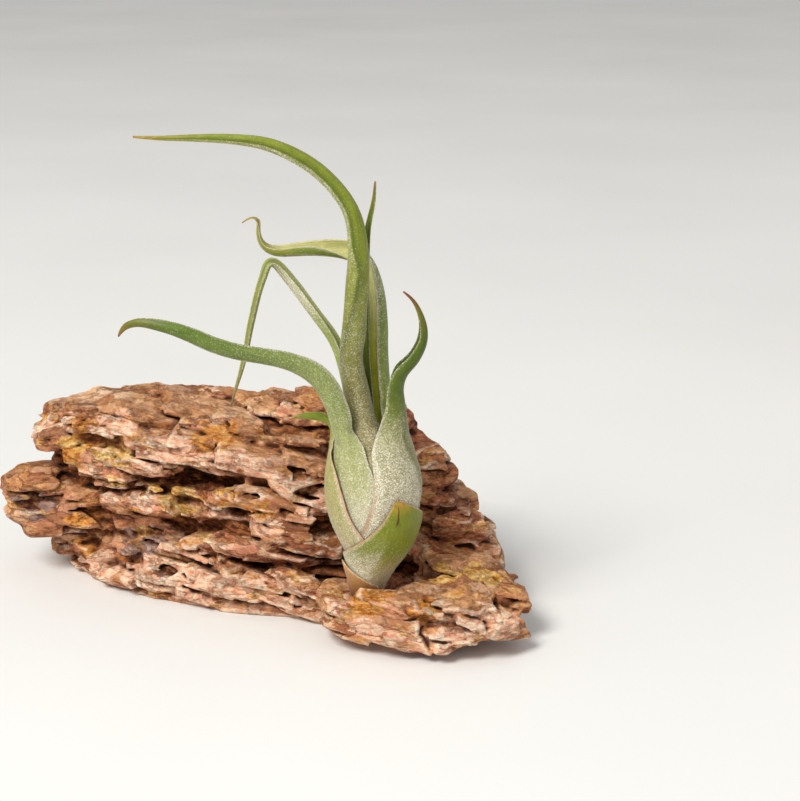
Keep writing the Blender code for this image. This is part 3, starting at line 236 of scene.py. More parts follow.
LEAVES["leaf_upright_back"] = dict(
    PLAIN, hollow=0.3, margin=(196, 184, 150), tip=(0.988, 150, 104, 48),
    blade=((41.9, 0, 34.6, 1.5, 120, 0, 1, 0), (42.6, 1.2, 48, 2, 120, 0, 1, 0),
        (42.2, 3, 66, 2.1, 120, 0, 1, 0), (41.6, 5, 80, 2.1, 120, 0.05, 1, 0),
        (40.9, 6.9, 92, 2.1, 118, 0.1, 1, 0), (39.8, 8.8, 108, 2, 116, 0.1, 1, 0),
        (39.2, 9.2, 124, 1.9, 114, 0.1, 1, 0), (39.5, 8.4, 140, 1.7, 112, 0.1, 1, 0),
        (40, 8, 154, 1.45, 110, 0.1, 1, 0), (40.9, 8, 163.1, 1.1, 108, 0.15, 1, 0),
        (42.9, 7.8, 172.3, 0.8, 104, 0.3, 0.95, 0), (43.6, 7.6, 180, 0.4, 98, 0.3, 0.95, 0)),
    outside=((0, 140, 120, 60), (0.15, 126, 136, 48), (0.8, 110, 128, 36), (1, 120, 110, 40)),
    within=((0, 130, 120, 60), (0.15, 120, 134, 44), (0.9, 108, 124, 36), (1, 124, 104, 44)),
    scurf=((0, 0.3), (0.5, 0.22), (1, 0.06)), right=((0, 0.3), (0.5, 0.2), (1, 0.03)), papery=NONE,
)
SCALES_PER_MM2 = 3.2
SCALE_SIZE = (0.14, 0.34)
SCURF = (244, 240, 224)
HAZE = (238, 222, 186)

# Light, floor and camera.
CAMERA = np.array((52.8, -691.15, 295.58))
CAMERA_TILT = 16.0
CAMERA_LENS = 85.0
FLOOR_REACH = 8.0

# A fine leaf: how far apart its sections lie, how many steps each has across, and how far apart ribs lie.
ROW_STEP = 1.2
ACROSS = 56
ACROSS_NARROW = 28
RIB_PITCH = 1.15

# The stone: grid spacing of the sculpting, how far from the solid's surface the grid reads, how far it
# extends beyond the solid and reads the way to the plant, how far from the surface fine grain is worked,
# how deep the weathering may go, and the room that is left round the plant.
VOXEL = 0.68
BAND = 6.8
MARGIN = 4.0
FINE_BAND = 2.6
DEEPEST = 2.2
PLANT_ROOM = 0.55
# Nearer to the plant's foot than the first distance the stone keeps its solid's form, and beyond the
# second it is fully weathered.
POCKET = (9, 15)
# The stone's core lies this far under the solid's surface, and broken plates build it up again: how many
# for each 1000 square millimetres, half their length and depth, their thickness, how far their edges
# stand proud of the solid, and how much they tilt from the bed.
CORE_DEPTH = 1.5
PLATES = (
    (3.2, (13, 30), (7, 13), (4, 9), (-0.8, 1.3), 0.07),
    (6, (6, 13), (4, 7.5), (2, 4.2), (-1.3, 0.9), 0.12),
    (9, (2.4, 5.5), (1.8, 3.6), (1, 2.2), (-1.3, 0.5), 0.22),
)
PLATE_SIDES = 7
# No plate starts below this height or where the surface faces down this much; where it faces up so much
# that its level part is under the last number, a plate lies flat on it.
PLATES_FROM = 1.2
UNDERSIDE = -0.8
FLATTEST_SIDE = 0.25

# Hollows and holes of the stone: centre and half sizes.
HOLLOWS = (
    (-92, 67, 56, 5, 5, 2.4), (-27, 52, 49, 18, 12, 5), (-13, 38, 40, 8, 9, 2.6), (-35, 42, 34.5, 7, 7, 2),
    (18, 34, 50, 9, 9, 3.2), (27, 29, 36, 11, 10, 7.5), (22, 24, 20, 13, 7, 3.4), (-43, 38, 13, 15, 5, 1.4),
    (66, 42, 49, 7, 6, 2.6), (53, 31, 17, 10, 7, 4.4), (-82, 66, 15, 9, 5, 4),
)
# Mineral stains of each kind: centre and reach.
STAINS = {
    "ochre": (
        (-104, 92, 61, 9), (-78, 60, 67, 10), (-12, 36, 44, 9), (-3, 34, 42, 8), (-86, 63, 55, 8),
        (-80, 62, 27, 9), (-82, 66, 14, 8), (62, -20, 20, 8), (-23, 49, 67, 12), (40, -16, 22, 10),
        (-34, 42, 42, 7),
    ),
    "yellow": (
        (-38, 46, 41, 10), (-66, 54, 47, 5), (-49, 47, 47, 7), (-66, 53, 60, 11), (-84, 64, 60, 8),
        (-20, 40, 50, 6), (-54, 55, 25, 6), (-28, 36, 30, 5), (36, -14, 25, 8), (84, 7, 24, 9),
        (70, 2, 26, 7),
    ),
    "pale": (
        (-52, 47, 14, 6), (-97, 80, 63, 11), (-86, 66, 69, 9), (-66, 54, 71, 11), (-50, 45, 58, 8),
        (-40, 43, 65, 12), (-20, 37, 62, 12), (-2, 33, 60, 12), (10, 29, 53, 10), (18, 25, 46, 8),
        (-66, 55, 40, 7), (-52, 48, 40, 8), (-20, 36, 38, 7), (0, 29, 37, 8), (-74, 56, 7, 13),
        (-55, 42, 9, 14), (-33, 30, 10, 17), (-10, 22, 11, 16), (10, 16, 12, 14), (28, -13, 19, 8),
        (88, -20, 14, 14), (66, -26, 13, 12), (40, -17, 12, 10), (53, -24, 9, 9), (80, -27, 12, 11),
    ),
    "grey": (
        (-53, 53, 22, 13), (-43, 38, 12, 6), (-103, 66, 33, 12), (-60, 46, 17, 8),
    ),
    "brown": (
        (12, 24, 27, 14), (73, 39, 44, 20), (72, 41, 31, 20), (45, 3, 19, 18), (-29, 50, 50, 16),
        (-15, 40, 33, 14), (-40, 44, 33, 12), (55, 60, 65, 24), (-70, 60, 33, 13),
    ),
}

LATTICE = np.random.default_rng(5).random((64, 64, 64), dtype=np.float32) * 2 - 1


def noise(x, y, z, shift=0.0):
    """Smooth noise between -1 and 1 on a lattice of seeded random numbers that repeats every 64 cells."""
    corner, share = [], []
    for value, offset in ((x, 7.13), (y, 3.71), (z, 5.37)):
        value = value + shift * offset
        low = np.floor(value).astype(np.int32)
        part = value - low
        share.append(part * part * (3 - 2 * part))
        corner.append((low & 63, (low + 1) & 63))
    (x0, x1), (y0, y1), (z0, z1) = corner
    fx, fy, fz = share

    def edge(j, k):
        return LATTICE[x0, j, k] * (1 - fx) + LATTICE[x1, j, k] * fx

    near = edge(y0, z0) * (1 - fy) + edge(y1, z0) * fy
    far = edge(y0, z1) * (1 - fy) + edge(y1, z1) * fy
    return near * (1 - fz) + far * fz


def smoothstep(low, high, value):
    share = np.clip((value - low) / (high - low), 0, 1)
    return share * share * (3 - 2 * share)


def unit(vectors):
    return vectors / np.linalg.norm(vectors, axis=-1, keepdims=True)


# The stone


def node_triangles(names):
    """Points in millimetres and triangles of some of the frame's nodes together."""
    points, triangles, count = [], [], 0
    for name in names:
        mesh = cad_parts[name].data
        place = np.empty(len(mesh.vertices) * 3, np.float32)
        mesh.vertices.foreach_get("co", place)
        mesh.calc_loop_triangles()
        corners = np.empty(len(mesh.loop_triangles) * 3, np.int32)
        mesh.loop_triangles.foreach_get("vertices", corners)
        points.append(place.reshape(-1, 3) / MM - SHIFT)
        triangles.append(corners.reshape(-1, 3) + count)
        count += len(mesh.vertices)
    return np.concatenate(points).astype(np.float32), np.concatenate(triangles).astype(np.uint32)


def distances(names, low, shape, reach):
    """How far each point of the grid lies outside the nodes, up to reach; less than 0 inside."""
    points, triangles = node_triangles(names)
    spacing = openvdb.createLinearTransform(voxelSize=VOXEL)
    grid = openvdb.FloatGrid.createLevelSetFromPolygons(
        points, triangles=triangles, transform=spacing, halfWidth=reach / VOXEL)
    field = np.empty(shape, np.float32)
    grid.copyToArray(field, ijk=low)
    return field


def bedding(x, y, z):
    """The coordinate across the beds: height, dipping to the right and gently waved."""
    dip = np.interp(x, (-70, 16, 40), (0, 14, 10)).astype(np.float32) * np.clip(z / 60, 0, 1.2)
    return z + dip + 2.4 * noise(x / 50, y / 42, z / 60, 1) + 0.8 * noise(x / 16, y / 14, z / 12, 2)


def surface_spots(rng, per_thousand):
    """Seeded places on the stone's solid, evenly by area, and the way that its surface faces there."""
    points, triangles = node_triangles(["stone"])
    a, b, c = [points[triangles[:, k]].astype(float) for k in range(3)]
    normal = np.cross(b - a, c - a)
    area = np.linalg.norm(normal, axis=1) / 2
    count = int(area.sum() * per_thousand / 1000)
    pick = rng.choice(len(area), count, p=area / area.sum())
    s, t = rng.random((2, count, 1))
    over = s + t > 1
    s, t = np.where(over, 1 - s, s), np.where(over, 1 - t, t)
    return a[pick] + (b - a)[pick] * s + (c - a)[pick] * t, (normal / (2 * area[:, None] + 1e-9))[pick]


def lay_plate(field, low, rng, spot, facing, long, deep, thick, proud, lean):
    """Lays a broken plate along the beds, with its outer edge near a spot: a sharp convex piece."""
    half_long, half_deep, half_thick = rng.uniform(*long), rng.uniform(*deep), rng.uniform(*thick) / 2
    stand, turn = rng.uniform(*proud), rng.normal(0, 0.3)
    tilt = rng.normal(0, lean, 2)
    spread = np.sort(rng.uniform(0, math.tau, PLATE_SIDES)) + rng.uniform(0, 0.3)
    wear = rng.uniform(0.78, 1, PLATE_SIDES)
    slope = rng.uniform(-0.3, 1.3, PLATE_SIDES)
    if spot[2] < PLATES_FROM or facing[2] < UNDERSIDE:
        return
    up = unit(np.array((0.2 * smoothstep(-70, 0, spot[0]) + tilt[0], tilt[1], 1)))
    level = facing - up * facing.dot(up)
    steep = np.linalg.norm(level)
    on_side = steep > FLATTEST_SIDE
    along = unit(np.cross(up, level if on_side else (0.1, -1, 0)))
    along = unit(along * math.cos(turn) + np.cross(up, along) * math.sin(turn))
    across = np.cross(up, along)
    inward = -unit(level) * (half_deep - stand) if on_side else np.zeros(3)
    sink = up * (stand * 0.6 - half_thick) * (1 - min(1, steep))
    centre = spot + inward + sink
    reach = max(half_long, half_deep) + 1
    first = np.maximum(np.floor((centre - reach) / VOXEL).astype(int) - low, 0)
    last = np.minimum(np.ceil((centre + reach) / VOXEL).astype(int) - low + 1, field.shape)
    tall = half_thick + reach * 0.45
    first[2] = max(first[2], int((centre[2] - tall) / VOXEL) - low[2])
    last[2] = min(last[2], int((centre[2] + tall) / VOXEL) - low[2] + 2)
    if np.any(last - first < 2):
        return
    block = tuple(slice(*ends) for ends in zip(first, last))
    x, y, z = np.ix_(*[((np.arange(f, l) + o) * VOXEL - c).astype(np.float32)
                       for f, l, o, c in zip(first, last, low, centre)])
    u, v, w = [x * way[0] + y * way[1] + z * way[2] for way in (along, across, up)]
    piece = np.abs(w) - half_thick
    for angle, near, bevel in zip(spread, wear, slope):
        c, s = math.cos(angle), math.sin(angle)
        edge = near / math.sqrt((c / half_long) ** 2 + (s / half_deep) ** 2)
        piece = np.maximum(piece, (u * c + v * s - edge + w * bevel) / math.sqrt(1 + bevel * bevel))
    field[block] = np.minimum(field[block], piece)


def lay_plates(field, low):
    """Lays plates of each size over the stone's core."""
    rng = np.random.default_rng(23)
    for per_thousand, *sizes in PLATES:
        for spot, facing in zip(*surface_spots(rng, per_thousand)):
            lay_plate(field, low, rng, spot, facing, *sizes)


def ellipsoid(x, y, z, form):
    """Distance, roughly, from an ellipsoid given by its centre and half sizes."""
    cx, cy, cz, rx, ry, rz = form
    reach = np.sqrt(((x - cx) / rx) ** 2 + ((y - cy) / ry) ** 2 + ((z - cz) / rz) ** 2)
    return (reach - 1) * min(rx, ry, rz)


def blurred(field, passes):
    for _ in range(passes):
        for axis in range(3):
            field = (np.roll(field, 1, axis) + 2 * field + np.roll(field, -1, axis)) / 4
    return field


def sample(field, low, points, coarse=1):
    """A grid's values at points, by straight-line reading; a coarse grid keeps every so many planes."""
    place = (points / VOXEL - np.array(low)) / coarse
    base = np.clip(np.floor(place).astype(int), 0, np.array(field.shape) - 2)
    share = place - base
    value = np.zeros(len(points), np.float32)
    for corner in np.ndindex(2, 2, 2):
        weight = np.prod(np.where(corner, share, 1 - share), axis=1)
        value += weight * field[tuple((base + corner).T)]
    return value


def largest_part(count, faces):
    """Which points belong to the largest connected part of a mesh of quads."""
    label = np.arange(count)
    ends = np.concatenate([faces[:, [k, (k + 1) % 4]] for k in range(4)])
    while True:
        low = label[ends].min(1)
        fresh = label.copy()
        for end in ends.T:
            np.minimum.at(fresh, end, low)
        fresh = fresh[fresh]
        if np.array_equal(fresh, label):
            return label == np.bincount(label).argmax()
        label = fresh


def places(band, low):
    """The coordinates of the grid's points in the band."""
    return [(index + start).astype(np.float32) * VOXEL for index, start in zip(np.nonzero(band), low)]


def sculpted_stone():
    """The stone's solid, weathered: its mesh, with what the material reads at each point."""
    points, _ = node_triangles(["stone"])
    low = tuple(int(v) for v in np.floor((points.min(0) - MARGIN) / VOXEL))
    high = np.ceil((points.max(0) + MARGIN) / VOXEL).astype(int)
    shape = tuple(int(v) for v in high - low + 1)
    solid_field = distances(["stone"], low, shape, BAND)
    plant = distances([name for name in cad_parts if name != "stone"], low, shape, MARGIN)
    band = np.abs(solid_field) < BAND - 0.4
    x, y, z = places(band, low)
    field = solid_field.copy()
    field[band] += CORE_DEPTH + 1.1 * noise(x / 22, y / 17, bedding(x, y, z) / 7, 3)
    lay_plates(field, np.array(low))
    field = np.minimum(np.maximum(field, solid_field - DEEPEST), BAND)
    band = np.abs(field) < FINE_BAND
    x, y, z = places(band, low)
    bed = bedding(x, y, z)
    calm = smoothstep(*POCKET, np.hypot(x - BULB[0, 1], y)) * smoothstep(0, 3, z)
    grain = 0.34 * noise(x / 6.5, y / 6.5, bed / 1.8, 7) + 0.20 * noise(x / 2.6, y / 2.6, bed / 0.9, 8)
    grain += 0.12 * noise(x / 1.1, y / 1.1, bed / 0.7, 9)
    near = field[band] - grain
    ragged = 1.3 * noise(x / 5, y / 5, bed / 1.6, 12)
    for form in HOLLOWS:
        near = np.maximum(near, -ellipsoid(x, y, z, form) - ragged)
    field[band] = near * calm + solid_field[band] * (1 - calm)
    height = (np.arange(shape[2]) + low[2]).astype(np.float32) * VOXEL
    field = np.maximum(np.maximum(field, -height), PLANT_ROOM - plant)
    field = (field + blurred(field, 1)) / 2
    grid = openvdb.FloatGrid(BAND)
    grid.transform = openvdb.createLinearTransform(voxelSize=VOXEL)
    grid.copyFromArray(field, ijk=low)
    points, _, faces = grid.convertToPolygons(isovalue=0.0, adaptivity=0.0)
    kept = largest_part(len(points), faces.astype(np.int64))
    faces = faces[kept[faces[:, 0]]]
    points, faces = points[kept], (np.cumsum(kept) - 1)[faces][:, ::-1]
    close = blurred(np.clip(0.5 - field / (2 * VOXEL), 0, 1), 4)
    wide = blurred(close, 44)
    # How closely the solid surrounds each point, near and wide: the material pales worn noses with the
    # nearest and paints shade into hollows and crevices.
    reads = {
        "wear_and_shade": sample(close, low, points),
        "cavity": sample(wide, low, points),
        "shelter": sample(blurred(wide[::4, ::4, ::4], 12), low, points, 4),
        "bed": bedding(*points.T.astype(np.float32)),
    }
    for kind in STAINS:
        reads[kind] = stains(points, kind)
    return points, faces, reads


def stains(points, kind):
    """How strongly a kind of stain colours each point."""
    x, y, z = points.T.astype(np.float32)
    ragged = 0.30 * noise(x / 6, y / 6, z / 2.4, 21) + 0.16 * noise(x / 1.8, y / 1.8, z / 0.9, 22)
    strength = np.zeros(len(points), np.float32)
    for cx, cy, cz, reach in STAINS[kind]:
        off = np.sqrt((x - cx) ** 2 + (y - cy) ** 2 + (1.7 * (z - cz)) ** 2) / reach
        strength = np.maximum(strength, smoothstep(1.05, 0.65, off + ragged))
    return strength


# Meshes


def scene_object(name, data):
    made = bpy.data.objects.new(name, data)
    bpy.context.scene.collection.objects.link(made)
    return made


def mesh_object(node, ending, points, faces, material, reads=None):
    """A smooth mesh from points in millimetres that rides on the root body; a fine one replaces its node."""
    mesh = bpy.data.meshes.new(node + ending)
    mesh.vertices.add(len(points))
    mesh.vertices.foreach_set("co", ((points + SHIFT) * MM).astype(np.float32).ravel())
    mesh.loops.add(faces.size)
    mesh.loops.foreach_set("vertex_index", faces.astype(np.int32).ravel())
    mesh.polygons.add(len(faces))
    mesh.polygons.foreach_set("loop_start", np.arange(len(faces), dtype=np.int32) * faces.shape[1])
    mesh.polygons.foreach_set("use_smooth", np.ones(len(faces), bool))
    mesh.update(calc_edges=True)
    mesh.validate()
    made = scene_object(node + ending, mesh)
    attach(made, "root")
    if ending == "_fine":
        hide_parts(node)
    for name, values in (reads or {}).items():
        values = np.asarray(values, np.float32)
        kind, field = ("FLOAT_VECTOR", "vector") if values.ndim == 2 else ("FLOAT", "value")
        mesh.attributes.new(name, kind, "POINT").data.foreach_set(field, values.ravel())
    mesh.materials.append(material)


def quads(a, b, c, d, flip=False):
    """Quads from four arrays of corners, turned over where asked."""
    faces = np.stack((a, b, c, d), -1).reshape(-1, 4)
    return faces[:, ::-1] if flip else faces


# The leaves


def catmull(rows, steps):
    """A smooth curve through the rows, with so many steps between each two."""
    rows = np.asarray(rows, float)
    last = len(rows) - 1
    u = np.arange(steps)[:, None] / steps
    rise = 3 * u ** 2 - 2 * u ** 3
    turn_from, turn_to = u ** 3 - 2 * u ** 2 + u, u ** 3 - u ** 2
    out = []
    for index in range(last):
        a, b = rows[max(index - 1, 0)], rows[index]
        c, d = rows[index + 1], rows[min(index + 2, last)]
        out.append(b + rise * (c - b) + turn_from * (c - a) / 2 + turn_to * (d - b) / 2)
    out.append(rows[-1:])
    return np.concatenate(out)


BULB_Z, BULB_X, BULB_HALF = catmull(BULB, 8).T
STANDOFF_Z, STANDOFF_BY = catmull(STANDOFF, 8).T


def sheath_rows(layer, sheath):
    """Stations up the sheath: centre, radius, half angle, keel vector, plane normal, thickness."""
    z, left, right, drawn_in = np.array(sheath, float).T
    standoff = np.interp(z, STANDOFF_Z, STANDOFF_BY)
    radius = np.interp(z, BULB_Z, BULB_HALF) + LAYER_PITCH * (standoff - layer) - drawn_in
    facing = np.radians((left + right) / 2)
    none, full = np.zeros(len(z)), np.ones(len(z))
    return np.column_stack((
        np.interp(z, BULB_Z, BULB_X), none, z, radius, (right - left) / 2,
        np.cos(facing), np.sin(facing), none, none, none, full, full * SHEATH_T,
    ))


def blade_rows(blade, has_sheath):
    """Stations along the blade, in the same form."""
    blade = np.array(blade, float)
    place = blade[[0, *range(len(blade)), -1], :3]
    normal = unit(place[2:] - place[:-2])
    if has_sheath:
        normal[0] = unit(normal[0] + (0, 0, 1))
    thick = np.clip(blade[:, 3] * 0.4, 0.6, BLADE_T)
    return np.column_stack((blade[:, :5], unit(blade[:, 5:]), normal, thick))


def leaf_rows(layer, sheath, neck, blade):
    """All stations of a leaf, evenly spaced and smoothed."""
    parts = []
    if sheath:
        parts.append(sheath_rows(layer, catmull(sheath, 6)))
    if blade:
        rows = blade_rows(blade, bool(sheath))
        if neck:
            rows = np.vstack(((*neck, *unit(rows[0, 8:11] + (0, 0, 1)), SHEATH_T), rows))
        if sheath:
            rows = np.vstack((sheath_rows(layer, sheath[-2:]), rows))
        parts.append(catmull(rows, 8)[9 if sheath else 0:])
    rows = np.concatenate(parts)
    run = np.cumsum(np.linalg.norm(np.diff(rows[:, :3], axis=0, prepend=rows[:1, :3]), axis=1))
    at = np.linspace(0, run[-1], max(12, round(run[-1] / ROW_STEP)))
    rows = np.column_stack([np.interp(at, run, column) for column in rows.T])
    for _ in range(3):
        rows[1:-1] = (rows[:-2] + 2 * rows[1:-1] + rows[2:]) / 4
    return rows, at


def leaf_grid(rows, run, across, look, seed):
    """Outer and inner points of a leaf, row by row, with how far each lies across it."""
    normal = unit(rows[:, 8:11])
    keel = rows[:, 5:8]
    keel = unit(keel - normal * np.sum(keel * normal, axis=1, keepdims=True))
    side = np.cross(normal, keel)
    u = np.linspace(-1, 1, across + 1)
    u = np.sin(u * math.pi / 2) * 0.35 + u * 0.65
    height, radius, half, upward, thick = [rows[:, k][:, None] for k in (2, 3, 4, 10, 11)]
    down, share = run[:, None], (run / run[-1])[:, None]
    which = np.sign(u) * 3
    ragged = 0.02 * noise(down / 5, which, 0, seed) + 0.01 * noise(down / 1.7, which, 0, seed + 1)
    angle = np.radians(half) * (u + u ** 5 * ragged * look["torn"])
    is_sheath = smoothstep(0.5, 1, upward) * smoothstep(5, 8, radius)
    ridge = look["ridge"] * radius * np.exp(-(angle / 0.2) ** 2)
    ridge = ridge * smoothstep(0.25, 0.4, share) * (1 - 0.7 * share)
    ripple = 0.22 * noise(down / 11, u * 2.5, seed, 31)
    ribs = angle * radius * math.tau / RIB_PITCH + 2 * noise(down / 14, u * 3, 0, 32)
    ribs = look["ribs"] * np.cos(ribs)
    hug = -0.28 * smoothstep(0.86, 1, np.abs(u)) * is_sheath
    margin, push = look["tuck"]
    pressed = push * smoothstep(0.3, 1, u * margin)
    pressed = pressed * smoothstep(62, 82, height) * smoothstep(94, 83, height)
    outer_r = radius + (ridge + (ripple + ribs) * smoothstep(0.3, 2.5, radius) + hug) - pressed
    body = 0.25 + 0.75 * np.sqrt(np.clip(1 - np.abs(u) ** 3.5, 0, 1))
    inner_r = np.maximum(outer_r - thick * body, radius * 0.2)
    ray = keel[:, None] * np.cos(angle)[..., None] + side[:, None] * np.sin(angle)[..., None]
    outer, inner = [rows[:, None, :3] + ray * reach[..., None] for reach in (outer_r, inner_r)]
    return outer, inner, u, angle * radius


def leaf_faces(count, across):
    """Quads of the closed leaf: outer face, inner face, both margins and both ends."""
    index = np.arange(count * (across + 1)).reshape(count, across + 1)
    inner = index + index.size
    parts = []
    for grid, flip in ((index, False), (inner, True)):
        parts.append(quads(grid[:-1, :-1], grid[:-1, 1:], grid[1:, 1:], grid[1:, :-1], flip))
    for a, b, flip in (
        (index[:, 0], inner[:, 0], True), (index[:, -1], inner[:, -1], False),
        (index[0], inner[0], False), (index[-1], inner[-1], True),
    ):
        parts.append(quads(a[:-1], b[:-1], b[1:], a[1:], flip))
    return np.concatenate(parts)


def fine_leaf(name, look, seed):
    """One leaf with its scales."""
    rows, run = leaf_rows(look["layer"], look["sheath"], look["neck"], look["blade"])
    across = ACROSS if look["sheath"] else ACROSS_NARROW
    outer, inner, u, arc = leaf_grid(rows, run, across, look, seed)
    count, width = outer.shape[:2]
    points = np.concatenate((outer.reshape(-1, 3), inner.reshape(-1, 3)))
    share = run / run[-1]
    grain = np.column_stack((arc.ravel(), np.repeat(run, width), np.full(count * width, seed * 9)))
    reads = {
        "across": np.tile(u, count * 2),
        "along": np.tile(np.repeat(share, width), 2),
        "inner": np.repeat((0, 1), count * width),
        "grain": np.tile(grain, (2, 1)),
    }
    mesh_object(name, "_fine", points, leaf_faces(count, across), leaf_material(name, look), reads)
    leaf_scales(name, outer, inner, u, share, look, seed)


def leaf_scales(name, outer, inner, u, along, look, seed):
    """Tiny pale scales over both faces of a leaf, thicker where its look says, tilted to its tip."""
    rng = np.random.default_rng(100 + seed)
    left, right = [np.interp(along[:-1], *zip(*look[key])) for key in ("scurf", "right")]
    edge = smoothstep(0.9, 1, np.abs((u[:-1] + u[1:]) / 2))[None]
    starts = []
    for grid, sign, thin in ((outer, 1, 1), (inner, -1, look["hollow"])):
        a = grid[:-1, :-1]
        run_way, side_way = grid[1:, :-1] - a, grid[:-1, 1:] - a
        normal = np.cross(side_way, run_way) * sign
        area = np.linalg.norm(normal, axis=2)
        density = ((left + right) / 2)[:, None] ** 1.8 * thin
        number = rng.poisson(SCALES_PER_MM2 * area * (density + 0.8 * edge * thin))
        i, j = np.nonzero(number)
        times = number[i, j]
        i, j = np.repeat(i, times), np.repeat(j, times)
        s, t = rng.random((2, len(i), 1))
        place = a[i, j] + run_way[i, j] * s + side_way[i, j] * t
        starts.append((place, unit(normal[i, j] + 1e-9), unit(run_way[i, j] + 1e-9)))
    place, out, way = [np.concatenate(column) for column in zip(*starts)]
    count = len(place)
    turn = rng.uniform(0, math.tau, (count, 1))
    size = rng.uniform(*SCALE_SIZE, (count, 1))
    other = np.cross(out, way)
    lean = unit(way * np.cos(turn * 0.5) + other * np.sin(turn))
    corners = []
    for step in range(3):
        spin = turn + math.tau * step / 3
        corners.append(place - out * 0.05 + (way * np.cos(spin) + other * np.sin(spin)) * size * 0.45)
    tip = place + out * size * 0.8 + lean * size * 0.7
    points = np.stack((*corners, tip), 1).reshape(-1, 3)
    first = np.arange(count)[:, None] * 4
    faces = np.concatenate([first + pick for pick in ((0, 2, 1), (0, 1, 3), (1, 2, 3), (2, 0, 3))])
    mesh_object(name, "_scales", points, faces, scale_material())


# Materials


def daylight(colour, strength=1):
    """A 0 to 255 colour as the shader wants it."""
    values = [((c / 255 + 0.055) / 1.055) ** 2.4 if c > 10.3 else c / 255 / 12.92 for c in colour]
    return (*[v * strength for v in values], 1)


class Graph:
    """Short forms for putting together a material's nodes."""

    def __init__(self, name):
        self.material = bpy.data.materials.new(name)
        self.material.use_nodes = True
        self.tree = self.material.node_tree
        self.shader = self.tree.nodes["Principled BSDF"]

    def add(self, kind, inputs=(), **settings):
        node = self.tree.nodes.new("ShaderNode" + kind)
        for name, value in settings.items():
            setattr(node, name, value)
        for key, value in dict(inputs).items():
            self.put(node.inputs[key], value)
        return node

    def put(self, socket, value):
        if isinstance(value, bpy.types.NodeSocket):
            self.tree.links.new(value, socket)
        else:
            socket.default_value = value

    def read(self, name, output="Fac"):
        return self.add("Attribute", attribute_name=name).outputs[output]

    def geometry(self, output="Position"):
        return self.add("NewGeometry").outputs[output]

    def math(self, operation, a, b=0, c=0):
        return self.add("Math", {0: a, 1: b, 2: c}, operation=operation).outputs[0]

    def times(self, a, b, offset=0):
        return self.math("MULTIPLY_ADD", a, b, offset)

    def plus(self, a, b):
        return self.math("ADD", a, b)

    def sway(self, value, amount, base=0):
        """The base, moved by so much of a noise's distance from its middle."""
        return self.times(self.math("SUBTRACT", value, 0.5), amount, base)

    def step(self, value, low, high, top=1):
        """Rises smoothly from 0 at low to top at high."""
        inputs = {"Value": value, 1: low, 2: high, 3: 0, 4: top}
        return self.add("MapRange", inputs, interpolation_type="SMOOTHSTEP").outputs[0]

    def vector(self, operation, a, b):
        return self.add("VectorMath", {0: a, 1: b}, operation=operation).outputs[0]

    def noise(self, vector, scales, detail=2, roughness=0.5, distortion=0, output="Fac"):
        inputs = {"Vector": self.vector("MULTIPLY", vector, scales), "Scale": 1, "Detail": detail}
        inputs.update(Roughness=roughness, Distortion=distortion)
        return self.add("TexNoise", inputs).outputs[output]

    def cells(self, vector, scale=1):
        """Two random values for each cell of a Voronoi pattern, and the distance from its point."""
        node = self.add("TexVoronoi", {"Vector": vector, "Scale": scale})
        values = self.add("SeparateColor", {0: node.outputs["Color"]}).outputs
        return values[0], values[1], node.outputs["Distance"]

    def ramp(self, value, stops):
        node = self.add("ValToRGB", {"Fac": value})
        marks = node.color_ramp.elements
        while len(marks) < len(stops):
            marks.new(0.5)
        for mark, (place, *colour) in zip(marks, stops):
            mark.position = place
            mark.color = daylight(colour) if colour[1:] else (*colour * 3, 1)
        return node.outputs["Color"]

    def mix(self, factor, a, b, blend="MIX"):
        node = self.add("Mix", {0: factor, 6: a, 7: b}, data_type="RGBA", blend_type=blend)
        return node.outputs[2]

    def gain(self, colour, factors):
        return self.mix(1, colour, (*factors, 1), "MULTIPLY")

    def layers(self, colour, *rows):
        """Lays other colours over one: each where a value goes from low to high, as far as top."""
        for other, value, low, high, top in rows:
            colour = self.mix(self.step(value, low, high, top), colour, other)
        return colour

    def finish(self, colour, rough, relief=None, depth=0, strength=1, **constants):
        """Joins it all to the shader; constants are set on its sockets themselves."""
        inputs = {"Base Color": colour, "Roughness": rough}
        if relief:
            bump = self.add("Bump", {"Height": relief, "Distance": depth, "Strength": strength})
            inputs["Normal"] = bump.outputs["Normal"]
        for key, value in constants.items():
            inputs[key.replace("_", " ")] = value
        for key, value in inputs.items():
            self.put(self.shader.inputs[key], value)
        return self.material


